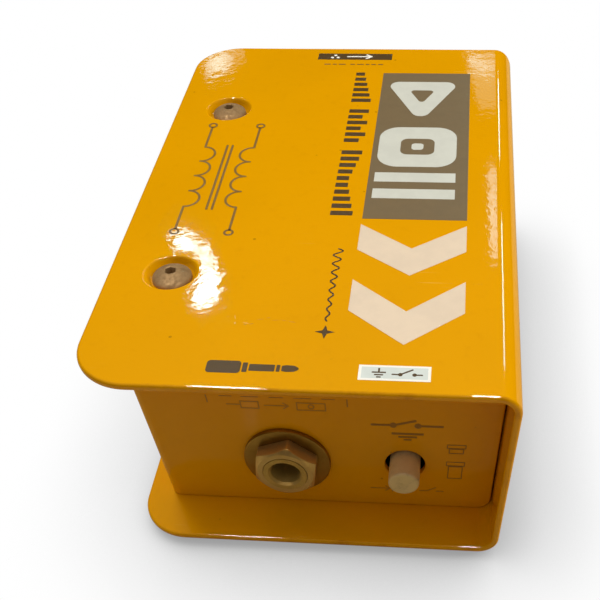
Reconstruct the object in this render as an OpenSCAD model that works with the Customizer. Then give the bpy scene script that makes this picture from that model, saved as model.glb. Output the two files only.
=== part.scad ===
// Direct injection box, output end: balanced input at the back, quarter inch
// output and a ground lift push button at the front.
// A C-shaped outer cover slides over an inner chassis. Millimetres.
// Origin: centre of the footprint, on the underside of the base pad.
// +X right, +Y towards the input connector, +Z up. The output panel faces -Y.

/* [Enclosure] */
// Length of the outer cover, front edge to back edge
cover_l = 127; // [124:0.5:132]
// Width of the outer cover, open left edge to right wall
cover_w = 81.4; // [81.4:0.2:86]
// Height of the outer cover over its two flanges
cover_h = 46; // [46:0.5:50]
// Radius of the free corners of the cover's flanges
cover_corner_r = 11; // [6:0.5:14]
// Outer radius of the cover's two long bends
cover_bend_r = 4.5; // [3:0.25:5]
// Distance from the cover's front and back edges in to the panels
panel_recess = 11.37; // [9:0.1:12.5]
// Overhang of the cover's flanges past the chassis side wall
side_overhang = 5.7; // [4:0.1:6]
// Outer radius of the chassis bends
chassis_bend_r = 2.5; // [2:0.25:3]

/* [Sheet metal] */
// Thickness of the cover and chassis steel
sheet_t = 1.5; // [1.2:0.1:1.5]
// Clearance between cover and chassis
sheet_gap = 0.05; // [0.03:0.01:0.1]
// Thickness of the pad under the box
pad_t = 2; // [1:0.25:3]
// Distance from the pad's edge in from the edge of the metal
pad_inset = 2.2; // [1.5:0.1:4]

/* [Cover screws] */
// Distance of the screws from the cover's open edge
screw_edge = 12.7; // [12:0.1:14]
// Distance between the two screws of one flange
screw_pitch = 63.5; // [50:0.5:70]
// Radius of the button head
screw_head_r = 3.96; // [3.6:0.02:4]
// Radius of the shank
screw_r = 2.08; // [1.9:0.02:2.1]
// Length under the head
screw_len = 6.4; // [6:0.1:8]
// Radius of the pressed dimple at the surface
dimple_r = 5.33; // [5.2:0.01:5.6]
// Depth of the pressed dimple
dimple_d = 1.5; // [1.2:0.1:1.5]

/* [Output jack] */
// Jack centre, across the box
jack_x = -5.7; // [-7:0.1:-5]
// Jack centre, above the bottom metal
jack_h = 15.6; // [15.4:0.1:16]
// Bore of the jack, for a quarter inch plug
jack_bore_r = 3.25; // [3.22:0.01:3.3]
// Width across flats of the jack nut
jack_nut_af = 12.7; // [12:0.1:13]
// Radius of the jack washer
jack_washer_r = 9.35; // [8:0.05:10]

/* [Ground lift switch] */
// Button centre, across the box
button_x = 19.65; // [19:0.05:21]
// Button centre, above the bottom metal
button_h = 15.23; // [15:0.01:15.5]
// Radius of the button
button_r = 3.3; // [3:0.05:3.5]
// Radius of the hole the button comes through
button_hole_r = 4.3; // [4:0.05:4.6]
// How far the button stands out of the panel when it is out
button_out = 5.5; // [5:0.1:6]
// Travel of the button
button_travel = 3.5; // [3:0.1:3.5]

/* [Input connector] */
// Radius of the connector's nose
xlr_nose_r = 11.8; // [11.5:0.05:11.8]
// Inner radius of the connector's shell
xlr_bore_r = 9.6; // [9.6:0.02:9.7]
// Radius of the insert that the cable plug slides over
xlr_insert_r = 7.75; // [7.7:0.01:7.8]
// Radius of the circle the three contacts lie on
xlr_pin_circle_r = 4.06; // [4:0.01:4.1]
// How far the nose stands out of the back panel
xlr_nose_out = 2.5; // [2:0.1:3]

/* [Circuit board] */
// Thickness of the board
board_t = 1.6; // [1.2:0.1:1.6]
// Height of the board's underside above the bottom metal
board_h = 6; // [6:0.1:6.2]

/* [Hidden] */
$fn = 72;
eps = 0.02;                          // sliver of gap or overlap
fit_gap = 0.05;                      // gap between a part and what it sits on
over = 1;                            // how far a cutter runs past a face

metal_z0 = pad_t;                    // underside of the cover
metal_z1 = pad_t + cover_h;          // top of the cover
mid_z = (metal_z0 + metal_z1) / 2;
half_w = cover_w / 2;
half_l = cover_l / 2;
back_y = half_l - panel_recess;      // outer faces of the panels
front_y = -back_y;
back_in = back_y - sheet_t;          // inner faces of the panels
front_in = front_y + sheet_t;
side_x = -half_w + side_overhang;    // outer face of the chassis side wall
panel_x1 = half_w - sheet_t - 0.25;  // right edge of the panels
chassis_z0 = metal_z0 + sheet_t + sheet_gap;
chassis_z1 = metal_z1 - sheet_t - sheet_gap;
floor_z = chassis_z0 + sheet_t;      // upper face of the lower chassis flange
flange_y = 46;                       // half length of the chassis flanges
screw_x = -half_w + screw_edge;

board_z0 = metal_z0 + board_h;
board_z1 = board_z0 + board_t;
part_z = board_z1 + fit_gap;         // underside of parts on the board
pin_z0 = board_z0 - 1.4;             // lower ends of pins
lead_z0 = board_z0 - 1;              // lower ends of thin leads

// centres in the panels, as [x, z]
jack_z = metal_z0 + jack_h;
jack_at = [jack_x, jack_z];
button_z = metal_z0 + button_h;
button_at = [button_x, button_z];
xlr_at = [0, mid_z];
xlr_screw_at = [for (p = [[-9.5, 12], [9.5, -12]]) xlr_at + p];

// places on the board and the chassis floor, as [x, y]
standoff_at = [[-17, -36], [-17, 36]];
stud_at = [screw_x, 0];
wire_pad_at = [-19, -26];
jack_pin_at = [[jack_x - 5, -46], [jack_x + 5, -46], [jack_x, -28]];
terminal_at = [for (x = [-2.5, 2.5], y = [-38, -34, -30]) [button_x + x, y]];
transformer_at = [-3, 1];
transformer_pin_at = [for (x = [-11, 0, 11], y = [-14, 14]) transformer_at + [x, y]];
small_part_x = 26;                   // column of resistors and capacitors
resistor_y = [-20, -15, -10, -5, 0];
resistor_lead = 5.08;                // leads from the middle of the part
capacitor_y = [8, 15, 22];
capacitor_lead = 3.75;

red = [0.62, 0.1, 0.07];
yellow = [0.93, 0.62, 0.02];
steel = [0.72, 0.69, 0.64];
nickel = [0.62, 0.58, 0.52];
black = [0.07, 0.07, 0.075];
ivory = [0.88, 0.84, 0.74];
brass = [0.78, 0.62, 0.3];
mid_grey = [0.5, 0.5, 0.5];
charcoal = [0.12, 0.12, 0.13];
board_green = [0.05, 0.28, 0.14];
can_grey = [0.66, 0.66, 0.64];
core_grey = [0.33, 0.33, 0.36];
cream = [0.85, 0.82, 0.7];
copper = [0.72, 0.38, 0.16];
blue = [0.25, 0.45, 0.62];
wire_green = [0.1, 0.4, 0.15];

// ---- shared shapes ----

// cylinder along X, centred on at = [y, z]
module xcyl(at, x0, x1, r) {
    translate([x0, at.x, at.y]) rotate([0, 90, 0]) cylinder(h = x1 - x0, r = r);
}

// cone along Y, centred on at = [x, z], radius r0 at y0 and r1 at y1
module ycone(at, y0, y1, r0, r1) {
    translate([at.x, y1, at.y]) rotate([90, 0, 0]) cylinder(h = y1 - y0, r1 = r1, r2 = r0);
}

module ycyl(at, y0, y1, r) { ycone(at, y0, y1, r, r); }

// upright cylinder, centred on at = [x, y]
module zcyl(at, z0, z1, r) { translate([at.x, at.y, z0]) cylinder(h = z1 - z0, r = r); }

// upright hexagonal prism on the origin
module hexagon(h, across) { cylinder(h = h, d = across / cos(30), $fn = 6); }

// box between two corners
module bar(low, high) { translate(low) cube(high - low); }

// square bar along Y, centred on at = [x, z]
module ybar(at, y0, y1, half) {
    bar([at.x - half, y0, at.y - half], [at.x + half, y1, at.y + half]);
}

// upright block, centred on at = [x, y], with half its size in x and y
module zblock(at, half, z0, z1) {
    bar([at.x - half.x, at.y - half.y, z0], [at.x + half.x, at.y + half.y, z1]);
}

// rectangle with its two left corners rounded
module left_round(x0, x1, y0, y1, r) {
    translate([x0 + r, y0]) square([x1 - x0 - r, y1 - y0]);
    translate([x0, y0 + r]) square([r * 1.01, y1 - y0 - 2 * r]);
    for (y = [y0 + r, y1 - r]) translate([x0 + r, y]) circle(r);
}

// rectangle between two corners, with all its corners rounded
module all_round(low, high, r) {
    size = high - low;
    translate([low.x + r, low.y]) square([size.x - 2 * r, size.y]);
    translate([low.x, low.y + r]) square([size.x, size.y - 2 * r]);
    for (x = [low.x + r, high.x - r], y = [low.y + r, high.y - r]) translate([x, y]) circle(r);
}

// the same from its centre and half size
module round_about(at, half, r) { all_round(at - half, at + half, r); }

// a drawing in x and z, extruded from y0 to y1
module along_y(y0, y1) {
    translate([0, y1, 0]) rotate([90, 0, 0]) linear_extrude(y1 - y0) children();
}

// a drawing in y and z, extruded from x0 to x1
module along_x(x0, x1) {
    translate([x0, 0, 0]) rotate([90, 0, 90]) linear_extrude(x1 - x0) children();
}

// one straight length of strip between two points, with round ends
module strip(start, end, w) {
    run = end - start;
    translate(start) rotate(atan2(run.y, run.x)) translate([0, -w / 2]) square([norm(run), w]);
    for (p = [start, end]) translate(p) circle(d = w, $fn = 24);
}

// at the screws of the top flange and, upside down, those of the bottom flange
module at_flange_screws() {
    for (y = [-0.5, 0.5] * screw_pitch) translate([screw_x, y, 0]) children();
}
module at_screws() {
    at_flange_screws() children();
    translate([0, 0, 2 * mid_z]) mirror([0, 0, 1]) at_flange_screws() children();
}

// round wire along a path; ref is a direction the path never runs along
function unit(v) = v / norm(v);
module wire(path, r, ref, sides = 8) {
    last = len(path) - 1;
    rings = [for (i = [0:last])
        let (along = unit(path[min(i + 1, last)] - path[max(i - 1, 0)]),
             u = unit(cross(along, ref)),
             v = cross(along, u))
        for (k = [0:sides - 1])
            path[i] + r * (cos(360 * k / sides) * u + sin(360 * k / sides) * v)];
    walls = [for (i = [0:last - 1], k = [0:sides - 1])
        let (a = i * sides, b = a + sides, next = (k + 1) % sides)
        [a + k, b + k, b + next, a + next]];
    polyhedron(points = rings, faces = concat(
        [[for (k = [0:sides - 1]) k]],
        walls,
        [[for (k = [sides - 1:-1:0]) last * sides + k]]), convexity = 8);
}

// points of a coil along Y, centred on at = [x, z]
function coil_y(at, y0, y1, r, turns, step = 24) = [for (a = [0:step:360 * turns])
    [at.x + r * cos(a), y0 + (y1 - y0) * a / (360 * turns), at.y + r * sin(a)]];

// points of an upright coil, centred on at = [x, y]
function coil_z(at, z0, z1, r, turns, step = 30) = [for (a = [0:step:360 * turns])
    [at.x + r * cos(a), at.y + r * sin(a), z0 + (z1 - z0) * a / (360 * turns)]];

// a smooth curve through four control points
function bezier(a, b, c, d, n) = [for (i = [0:n])
    let (s = i / n)
    pow(1 - s, 3) * a + 3 * s * pow(1 - s, 2) * b + 3 * s * s * (1 - s) * c + s * s * s * d];

// ---- enclosure ----

dimple_flare = 1;      // growth of a dimple's radius from its floor to its rim
cover_dimple_r = dimple_r - 0.23;    // floor radii of the dimples' undersides
chassis_dimple_r = dimple_r + 0.67;

// underside of a pressed dimple, carried a little into the sheet whose inner face is at z
module dimple_back(z, floor_r) {
    translate([0, 0, z - dimple_d])
        cylinder(h = dimple_d + 0.2, r1 = floor_r, r2 = floor_r + dimple_flare + 0.13);
}

// hollow of a dimple in the sheet whose outer face is at z
module dimple_hollow(z, floor_r, rim_r) {
    translate([0, 0, z - dimple_d]) cylinder(h = dimple_d + eps, r1 = floor_r, r2 = rim_r + eps);
}

// section of the outer cover in x and z
module cover_section() {
    mirror([1, 0]) difference() {
        left_round(-half_w, half_w, metal_z0, metal_z1, cover_bend_r);
        left_round(-half_w + sheet_t, half_w + 5, metal_z0 + sheet_t, metal_z1 - sheet_t,
                   cover_bend_r - sheet_t);
    }
}

module outer_cover() {
    color(yellow) difference() {
        union() {
            intersection() {
                along_y(-half_l, half_l) cover_section();
                translate([0, 0, metal_z0 - over]) linear_extrude(cover_h + 2 * over)
                    left_round(-half_w, half_w, -half_l, half_l, cover_corner_r);
            }
            at_screws() dimple_back(metal_z1 - sheet_t, cover_dimple_r);
        }
        at_screws() {
            dimple_hollow(metal_z1, screw_head_r + 0.34, dimple_r);
            translate([0, 0, metal_z1 - 6]) cylinder(h = 7, r = screw_r + 0.27);
        }
    }
}

// side wall with both flanges, reaching right to x1
module chassis_channel(x1) {
    along_y(-flange_y, flange_y) intersection() {
        difference() {
            left_round(side_x, 40, chassis_z0, chassis_z1, chassis_bend_r);
            left_round(side_x + sheet_t, 41, floor_z, chassis_z1 - sheet_t,
                       chassis_bend_r - sheet_t);
        }
        translate([side_x - 1, chassis_z0 - 1])
            square([x1 - side_x + 1, chassis_z1 - chassis_z0 + 2]);
    }
}

// the two panels, joined at the left by the ends of the side wall
module chassis_panels() {
    difference() {
        intersection() {
            translate([0, 0, chassis_z0]) linear_extrude(chassis_z1 - chassis_z0) difference() {
                left_round(side_x, panel_x1, front_y, back_y, chassis_bend_r);
                left_round(side_x + sheet_t, panel_x1 + 1, front_in, back_in,
                           chassis_bend_r - sheet_t);
            }
            along_y(front_y - over, back_y + over) mirror([1, 0])
                left_round(-panel_x1, -side_x + 1, chassis_z0, chassis_z1, 3);
        }
        bar([side_x - over, -flange_y, chassis_z0 - over],
            [side_x + 6, flange_y, chassis_z1 + over]);
    }
}

module front_hole(at, r) { ycyl(at, front_y - over, front_in + over, r); }
module back_hole(at, r) { ycyl(at, back_in - over, back_y + over, r); }
module floor_hole(at, r) { zcyl(at, chassis_z0 - over, floor_z + over, r); }

module inner_chassis() {
    color(yellow) difference() {
        union() {
            chassis_panels();
            // the lower flange carries the board; the upper one is cut back
            difference() {
                chassis_channel(-12);
                bar([-19.5, -flange_y - over, mid_z], [0, flange_y + over, chassis_z1 + over]);
            }
            at_screws() dimple_back(chassis_z1 - sheet_t, chassis_dimple_r);
        }
        // nested dimples and the clinch nuts' holes
        at_screws() {
            dimple_hollow(chassis_z1, dimple_r - 0.13, dimple_r - 0.13 + dimple_flare);
            translate([0, 0, chassis_z1 - 6]) cylinder(h = 6.5, r = 2.95);
        }
        front_hole(jack_at, jack_hole_r);
        front_hole(button_at, button_hole_r);
        back_hole(xlr_at, xlr_nose_r + 0.2);
        for (p = xlr_screw_at) back_hole(p, 1.65);
        for (p = concat(standoff_at, [stud_at])) floor_hole(p, 1.55);
    }
}

module cover_screws() {
    rim = 0.6;
    dome = 1.45;
    dome_r = (screw_head_r * screw_head_r + dome * dome) / (2 * dome);
    socket_d = 1.55;
    color(steel) at_screws() translate([0, 0, metal_z1 - dimple_d + eps]) difference() {
        union() {
            cylinder(h = rim, r = screw_head_r);
            intersection() {
                translate([0, 0, rim + dome - dome_r]) sphere(dome_r);
                translate([0, 0, rim - 0.1]) cylinder(h = dome + 1, r = screw_head_r);
            }
            translate([0, 0, -screw_len]) cylinder(h = screw_len + 0.1, r = screw_r);
        }
        translate([0, 0, rim + dome - socket_d]) hexagon(3, 1.98);
    }
}

module clinch_nuts() {
    seat_z = chassis_z1 - sheet_t - dimple_d;    // underside of the chassis dimple
    color(steel) at_screws() difference() {
        union() {
            translate([0, 0, seat_z - 2.55]) cylinder(h = 2.5, r = 4.4);
            translate([0, 0, seat_z - 0.1]) cylinder(h = sheet_t - 0.1, r = 2.9);
        }
        translate([0, 0, seat_z - 4]) cylinder(h = 8, r = screw_r + 0.07);
    }
}

module base_pad() {
    y1 = half_l - pad_inset;
    color(black) linear_extrude(pad_t - eps) difference() {
        union() {
            left_round(-half_w + pad_inset, 25, -y1, y1, cover_corner_r - pad_inset);
            mirror([1, 0]) left_round(-half_w + cover_bend_r + 0.6, 0, -y1, y1, 3);
        }
        at_flange_screws() circle(6);
    }
}

// ---- output jack ----

jack_seat = front_in + fit_gap;      // front face of the housing
jack_hole_r = 4.85;                  // hole in the panel and the washer
bushing_y0 = front_y - 4.47;         // front end of the bushing
washer_t = 1.02;
// bends of the tip spring, [y, z], from its root
tip_spring_path = [for (p = [[-44.2, 6.2], [-33, 5.5], [-31, 4.9], [-29.2, 2.95], [-27.4, 4.9]])
    [p.x, jack_z + p.y]];

module jack_housing() {
    half = 8;
    chamber = 1.9;                   // half width of the tip spring's chamber
    root = tip_spring_path[0];
    color(black) difference() {
        bar([jack_x - half, jack_seat, part_z], [jack_x + half, -22.6, jack_z + 9]);
        ycyl(jack_at, jack_seat - over, jack_seat + 1.6, 6.5);
        ycyl(jack_at, jack_seat - over, -46.3, 4.8);
        ycyl(jack_at, jack_seat - over, -25.2, jack_bore_r + 0.6);
        // chamber of the tip spring, and the pocket its root turns in
        bar([jack_x - chamber, root.x, jack_z + 2], [jack_x + chamber, -26.2, jack_z + 7.9]);
        xcyl(root, jack_x - chamber, jack_x + chamber, 0.7);
        for (p = jack_pin_at) zcyl(p, board_z1 - over, board_z1 + 3.2, 0.55);
        // cored sides of the moulding
        for (side = [-7, 7])
            bar([jack_x + side - 2, -41, board_z1 + 8], [jack_x + side + 2, -30, jack_z + 10]);
    }
}

module jack_bushing() {
    chamfer = 0.6;
    color(nickel) difference() {
        union() {
            ycyl(jack_at, bushing_y0, -46.4, 4.7);
            ycyl(jack_at, jack_seat, jack_seat + 1.5, 6.4);
        }
        ycyl(jack_at, front_y - 6, -40, jack_bore_r);
        ycone(jack_at, bushing_y0 - eps, bushing_y0 + chamfer, jack_bore_r + 0.42, jack_bore_r);
    }
}

module jack_washer() {
    color(nickel) difference() {
        ycyl(jack_at, front_y - washer_t, front_y - eps, jack_washer_r);
        ycyl(jack_at, front_y - 2, front_y + over, jack_hole_r);
    }
}

module jack_nut() {
    turn = 21;
    color(nickel) difference() {
        intersection() {
            translate([jack_x, front_y - washer_t - eps, jack_z]) rotate([90, 0, 0])
                rotate([0, 0, turn]) hexagon(3.33, jack_nut_af);
            // trims the corners of the front face
            union() {
                ycyl(jack_at, front_y - 3.6, front_y, 9);
                ycone(jack_at, front_y - 4.4, front_y - 3.59,
                      jack_nut_af / 2 + 0.02, jack_nut_af / 2 + 1.2);
            }
        }
        ycyl(jack_at, front_y - 6, front_y, 4.77);
    }
}

module jack_tip_spring() {
    path = tip_spring_path;
    color(brass) along_x(jack_x - 1.5, jack_x + 1.5) {
        translate(path[0]) circle(0.6, $fn = 32);
        for (i = [1:len(path) - 1]) strip(path[i - 1], path[i], 0.4);
    }
}

module jack_pins() {
    color(brass) for (p = jack_pin_at) zcyl(p, pin_z0, board_z1 + 3, 0.45);
}

// ---- ground lift switch ----

contact_x = [button_x - 1.8, button_x + 1.8];
latch_y = [-36.5, -28.5];            // the two legs of the latch pin
cap_y1 = -48.6;                      // back end of the button cap

module switch_body() {
    color(black) difference() {
        bar([button_x - 4.5, -43, part_z], [button_x + 4.5, -25, button_z + 5.2]);
        ybar(button_at, -41.3, -26.2, 3.25);
        ybar(button_at, -44, -40, 1.75);
        for (p = terminal_at) zcyl(p, board_z1 - over, button_z - 3, 0.45);
        for (y = latch_y) zcyl([button_x, y], button_z + 3, button_z + 6, 0.35);
    }
}

module switch_plunger() {
    color(ivory) difference() {
        union() {
            ybar(button_at, front_y - 2.2, -40.9, 1.6);
            ybar(button_at, -41, -33.5, 3.1);
        }
        // cam track of the latch, and pockets of the contacts
        bar([button_x - 0.5, latch_y[0] - button_travel - 0.5, button_z + 2.2],
            [button_x + 0.5, latch_y[0] + 0.5, button_z + 4]);
        for (x = contact_x)
            bar([x - 0.55, -39.1, button_z - 4], [x + 0.55, -34.9, button_z - 2.2]);
    }
}

module button_cap() {
    edge_r = 0.45;
    h = button_out - front_y + cap_y1;
    color(ivory) difference() {
        translate([button_x, cap_y1, button_z]) rotate([90, 0, 0]) rotate_extrude() {
            square([button_r - edge_r, h]);
            square([button_r, h - edge_r]);
            translate([button_r - edge_r, h - edge_r]) circle(edge_r);
        }
        ybar(button_at, front_y - 2.4, -48, 1.65);
    }
}

module switch_contacts() {
    color(brass) for (x = contact_x)
        bar([x - 0.5, -39, button_z - 3.08], [x + 0.5, -35, button_z - 2.3]);
}

module switch_spring() {
    color(steel) wire(coil_y(button_at, -33.1, -26.6, r = 1.9, turns = 5), 0.25, [0, 1, 0]);
}

module switch_latch_pin() {
    r = 0.25;
    z = button_z + 5.55;
    color(steel) {
        zcyl([button_x, latch_y[0]], button_z + 2.5, z, r);
        zcyl([button_x, latch_y[1]], button_z + 3.6, z, r);
        ycyl([button_x, z], latch_y[0], latch_y[1], r);
        for (y = latch_y) translate([button_x, y, z]) sphere(r);
    }
}

module switch_terminals() {
    color(brass) for (p = terminal_at) zcyl(p, pin_z0, button_z - 3.33, 0.38);
}

// ---- input connector ----

// contacts: x, z, y of the tail
xlr_contact_at = [
    [-xlr_pin_circle_r, mid_z, 27.4],
    [xlr_pin_circle_r, mid_z, 27.4],
    [0, mid_z - xlr_pin_circle_r, 25.2]
];
latch_pivot = [44, mid_z + 11];      // y, z
pivot_hole_r = 0.85;
latch_half = 2.3;                    // half width of the latch

module xlr_shell() {
    seat = back_in - fit_gap;
    slot = 2.45;                     // half width of the latch's slot
    color(mid_grey) difference() {
        union() {
            ycyl(xlr_at, seat - 0.1, back_y + xlr_nose_out, xlr_nose_r);
            along_y(seat - 2, seat) round_about(xlr_at, [13, 15.5], 2.5);
            ycyl(xlr_at, 30, seat - 1, 11.4);
            bar([-4.5, 36, mid_z + 8], [4.5, seat - 1, mid_z + 13.8]);
            for (p = xlr_screw_at) ycyl(p, 44.3, seat - 1, 2.9);
        }
        ycyl(xlr_at, 29, 60, xlr_bore_r);
        bar([-slot, 37, mid_z + 8], [slot, 60, mid_z + 13]);
        xcyl(latch_pivot, -6, 6, pivot_hole_r);
        for (p = xlr_screw_at) ycyl(p, 44, 60, 1.5);
    }
}

module xlr_insert() {
    color(charcoal) difference() {
        union() {
            ycyl(xlr_at, 33, back_y + xlr_nose_out - 1.5, xlr_insert_r);
            ycyl(xlr_at, 30.5, 34, xlr_bore_r - 0.1);
        }
        for (p = xlr_contact_at) {
            ycyl(p, 30, 51.6, 1.85);
            ycyl(p, 30, 60, 1.3);
        }
    }
}

module xlr_contacts() {
    tail_r = 0.5;
    color(brass) for (p = xlr_contact_at) {
        difference() {
            ycyl(p, 31, 51.4, 1.75);
            ycyl(p, 34, 60, 1.22);
        }
        ycyl(p, p.z, 31.1, tail_r);
        translate([p.x, p.z, p.y]) sphere(tail_r);
        zcyl([p.x, p.z], pin_z0, p.y, tail_r);
    }
}

module xlr_latch() {
    end_y = 53;                      // upright at the back end of the lever
    end_size = [2.4, 4.7];
    lever_z = mid_z + 9.9;
    color(nickel) difference() {
        union() {
            along_x(-latch_half, latch_half) {
                translate([37.4, lever_z]) square([16, 1.5]);
                translate(latch_pivot) circle(1.7);
                translate([end_y, lever_z]) square(end_size);
            }
            // block under the front end
            bar([-1.6, 37.9, mid_z + 8.8], [1.6, 39.3, mid_z + 10]);
            // ribs across the upright
            for (z = [11.6, 12.7, 13.8])
                xcyl([end_y + end_size.x, mid_z + z], -latch_half, latch_half, 0.35);
        }
        xcyl(latch_pivot, -6, 6, pivot_hole_r);
    }
}

module xlr_latch_spring() {
    color(steel)
        wire(coil_z([0, 39.6], mid_z + 11.6, mid_z + 12.8, r = 0.9, turns = 3), 0.15, [0, 0, 1]);
}

module xlr_pivot_pin() {
    color(steel) xcyl(latch_pivot, -4.3, 4.3, 0.8);
}

module xlr_screws() {
    color(black) for (p = xlr_screw_at) difference() {
        union() {
            ycyl(p, 44.6, back_y + 0.3, 1.4);
            intersection() {
                translate([p.x, back_y - 2.4, p.y]) sphere(4.1);
                ycyl(p, back_y + eps, back_y + 3, 2.6);
            }
        }
        // cross recess
        for (a = [0, 90]) translate([p.x, back_y + 1.7, p.y]) rotate([0, a + 20, 0])
            cube([2.6, 1.8, 0.55], center = true);
    }
}

// ---- circuit board ----

standoff_af = 5.5;

module board_holes(points, r) {
    for (p = points) zcyl(p, board_z0 - over, board_z1 + over, r);
}

// [x, y] of the leads of a column of small parts
function lead_at(rows, lead) = [for (y = rows, x = [-lead, lead]) [small_part_x + x, y]];

module circuit_board() {
    color(board_green) difference() {
        translate([0, 0, board_z0]) linear_extrude(board_t) all_round([-21, -49], [36.5, 44], 1);
        board_holes(concat(jack_pin_at, terminal_at, transformer_pin_at), 0.6);
        board_holes([for (p = xlr_contact_at) [p.x, p.z]], 0.6);
        board_holes(standoff_at, 1.7);
        board_holes(lead_at(resistor_y, resistor_lead), 0.45);
        board_holes(lead_at(capacitor_y, capacitor_lead), 0.45);
        board_holes([wire_pad_at], 0.8);
    }
}

module board_standoffs() {
    color(nickel) for (p = standoff_at) difference() {
        translate([p.x, p.y, floor_z + eps]) hexagon(board_z0 - floor_z - 2 * eps, standoff_af);
        zcyl(p, 0, board_z0 + over, 1.6);
    }
}

module board_screws() {
    color(steel) for (p = standoff_at) difference() {
        union() {
            zcyl(p, chassis_z0 + 0.1, board_z1 + 0.3, 1.5);
            intersection() {
                translate([p.x, p.y, board_z1 - 2.2]) sphere(3.95);
                zcyl(p, board_z1 + eps, board_z1 + 3, 2.5);
            }
        }
        // cross recess
        for (a = [0, 90]) translate([p.x, p.y, board_z1 + 1.7]) rotate([0, 0, a + 15])
            cube([2.6, 0.55, 1.8], center = true);
    }
}

// ---- transformer ----

can_half = [16, 19];                 // half size of the can, outside
can_h = 25.3;
can_r = 3;
can_wall = 0.8;
base_t = 1.5;
core_half_y = 6;
core_z = part_z + base_t + fit_gap;
limb_half = 3.5;                     // half width of the core's middle limb
window = [6, 13];                    // each of the core's two windows, x and z
window_z = core_z + 4.5;
bobbin_z = window_z + fit_gap;
bobbin_h = window.y - 2 * fit_gap;
bobbin_t = 0.8;
bobbin_flange = [9.4, 12];           // half sizes
bobbin_bore = [limb_half + 0.1, core_half_y + 0.1];
bobbin_tube = bobbin_bore + [bobbin_t, bobbin_t];

// outline of the can, drawn in by inset
module can_outline(inset) {
    round_about(transformer_at, can_half - [inset, inset], can_r - inset);
}

module transformer_can() {
    color(can_grey) translate([0, 0, part_z]) difference() {
        linear_extrude(can_h) can_outline(0);
        translate([0, 0, -over]) linear_extrude(can_h - can_wall + over) can_outline(can_wall);
    }
}

module transformer_base() {
    color(black) difference() {
        translate([0, 0, part_z]) linear_extrude(base_t) can_outline(can_wall + 0.1);
        for (p = transformer_pin_at) zcyl(p, board_z1 - over, board_z1 + 3, 0.5);
    }
}

module transformer_core() {
    x = transformer_at.x;
    y = transformer_at.y;
    color(core_grey) along_y(y - core_half_y, y + core_half_y) difference() {
        translate([x - 14, core_z]) square([28, 22]);
        for (x0 = [-limb_half - window.x, limb_half]) translate([x + x0, window_z]) square(window);
    }
}

module transformer_bobbin() {
    z1 = bobbin_z + bobbin_h;
    color(cream) difference() {
        union() {
            zblock(transformer_at, bobbin_tube, bobbin_z, z1);
            for (z = [bobbin_z, z1 - bobbin_t])
                zblock(transformer_at, bobbin_flange, z, z + bobbin_t);
        }
        zblock(transformer_at, bobbin_bore, bobbin_z - 1, bobbin_z + 14);
    }
}

module transformer_winding() {
    z0 = bobbin_z + bobbin_t + fit_gap;
    h = bobbin_h - 2 * (bobbin_t + fit_gap);
    color(copper) difference() {
        translate([0, 0, z0]) linear_extrude(h)
            round_about(transformer_at, bobbin_flange - [0.6, 0.6], 3);
        zblock(transformer_at, bobbin_tube + [0.1, 0.1], z0 - 1, z0 + 12);
    }
}

module transformer_pins() {
    color(brass) for (p = transformer_pin_at) zcyl(p, pin_z0, board_z1 + 2.4, 0.4);
}

// ---- small parts ----

module resistors() {
    z = board_z1 + 1.35;
    lead_r = 0.3;
    color(blue) for (y = resistor_y) translate([small_part_x, y, 0]) {
        xcyl([0, z], -3.1, 3.1, 1.0);
        for (s = [-1, 1]) {
            x = s * resistor_lead;
            xcyl([0, z], s * 2.55 - 0.7, s * 2.55 + 0.7, 1.2);
            xcyl([0, z], min(0, x), max(0, x), lead_r);
            translate([x, 0, z]) sphere(lead_r);
            zcyl([x, 0], lead_z0, z, lead_r);
        }
    }
}

module film_capacitors() {
    color(red) for (y = capacitor_y) translate([small_part_x, y, 0]) {
        translate([0, 0, part_z]) linear_extrude(8) round_about([0, 0], [5, 2], 0.5);
        for (x = [-capacitor_lead, capacitor_lead]) zcyl([x, 0], lead_z0, board_z1 + 0.2, 0.3);
    }
}

// ---- chassis ground ----

collar_z1 = floor_z + 0.8;           // top of the stud's collar
lug_gap = 0.03;
lug_z = collar_z1 + lug_gap;
lug_t = 0.6;
barrel_at = [stud_at.x, lug_z + 1.1];    // axis of the lug's barrel, x and z

module ground_stud() {
    color(steel) {
        zcyl(stud_at, chassis_z0 + eps, chassis_z0 + 8, 1.5);
        zcyl(stud_at, floor_z + eps, collar_z1, 2.6);
    }
}

module ground_lug() {
    x = stud_at.x;
    y = stud_at.y;
    color(nickel) difference() {
        union() {
            zcyl(stud_at, lug_z, lug_z + lug_t, 3.2);
            bar([x - 1.2, y - 6.2, lug_z], [x + 1.2, y, lug_z + lug_t]);
            ycyl(barrel_at, y - 6.4, y - 3.8, 1.1);
        }
        zcyl(stud_at, lug_z - 1, lug_z + 2, 1.6);
        ycyl(barrel_at, y - 7, y - 4.6, 0.7);
    }
}

module ground_nut() {
    z = lug_z + lug_t + lug_gap;
    color(steel) difference() {
        translate([stud_at.x, stud_at.y, z]) hexagon(2.4, 5.5);
        zcyl(stud_at, z - 1, z + 4, 1.56);
    }
}

// from the lug's barrel, over in a curve and down through the board
module ground_wire() {
    start = [barrel_at.x, stud_at.y - 4.7, barrel_at.y];
    leave = start - [0, 2.1, 0];
    pad = [wire_pad_at.x, wire_pad_at.y, board_z1 + 0.6];
    top = pad + [0, 0, 2.6];
    curve = bezier(leave, leave + [0, -7, 0.6], top + [-1.5, 7, 7], top, 16);
    drop = [for (z = [1.2, 0, -1.6]) pad + [0, 0, z]];
    color(wire_green) wire(concat([start], curve, drop), 0.55, unit([1, 0.15, 0.1]), sides = 10);
}

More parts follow.
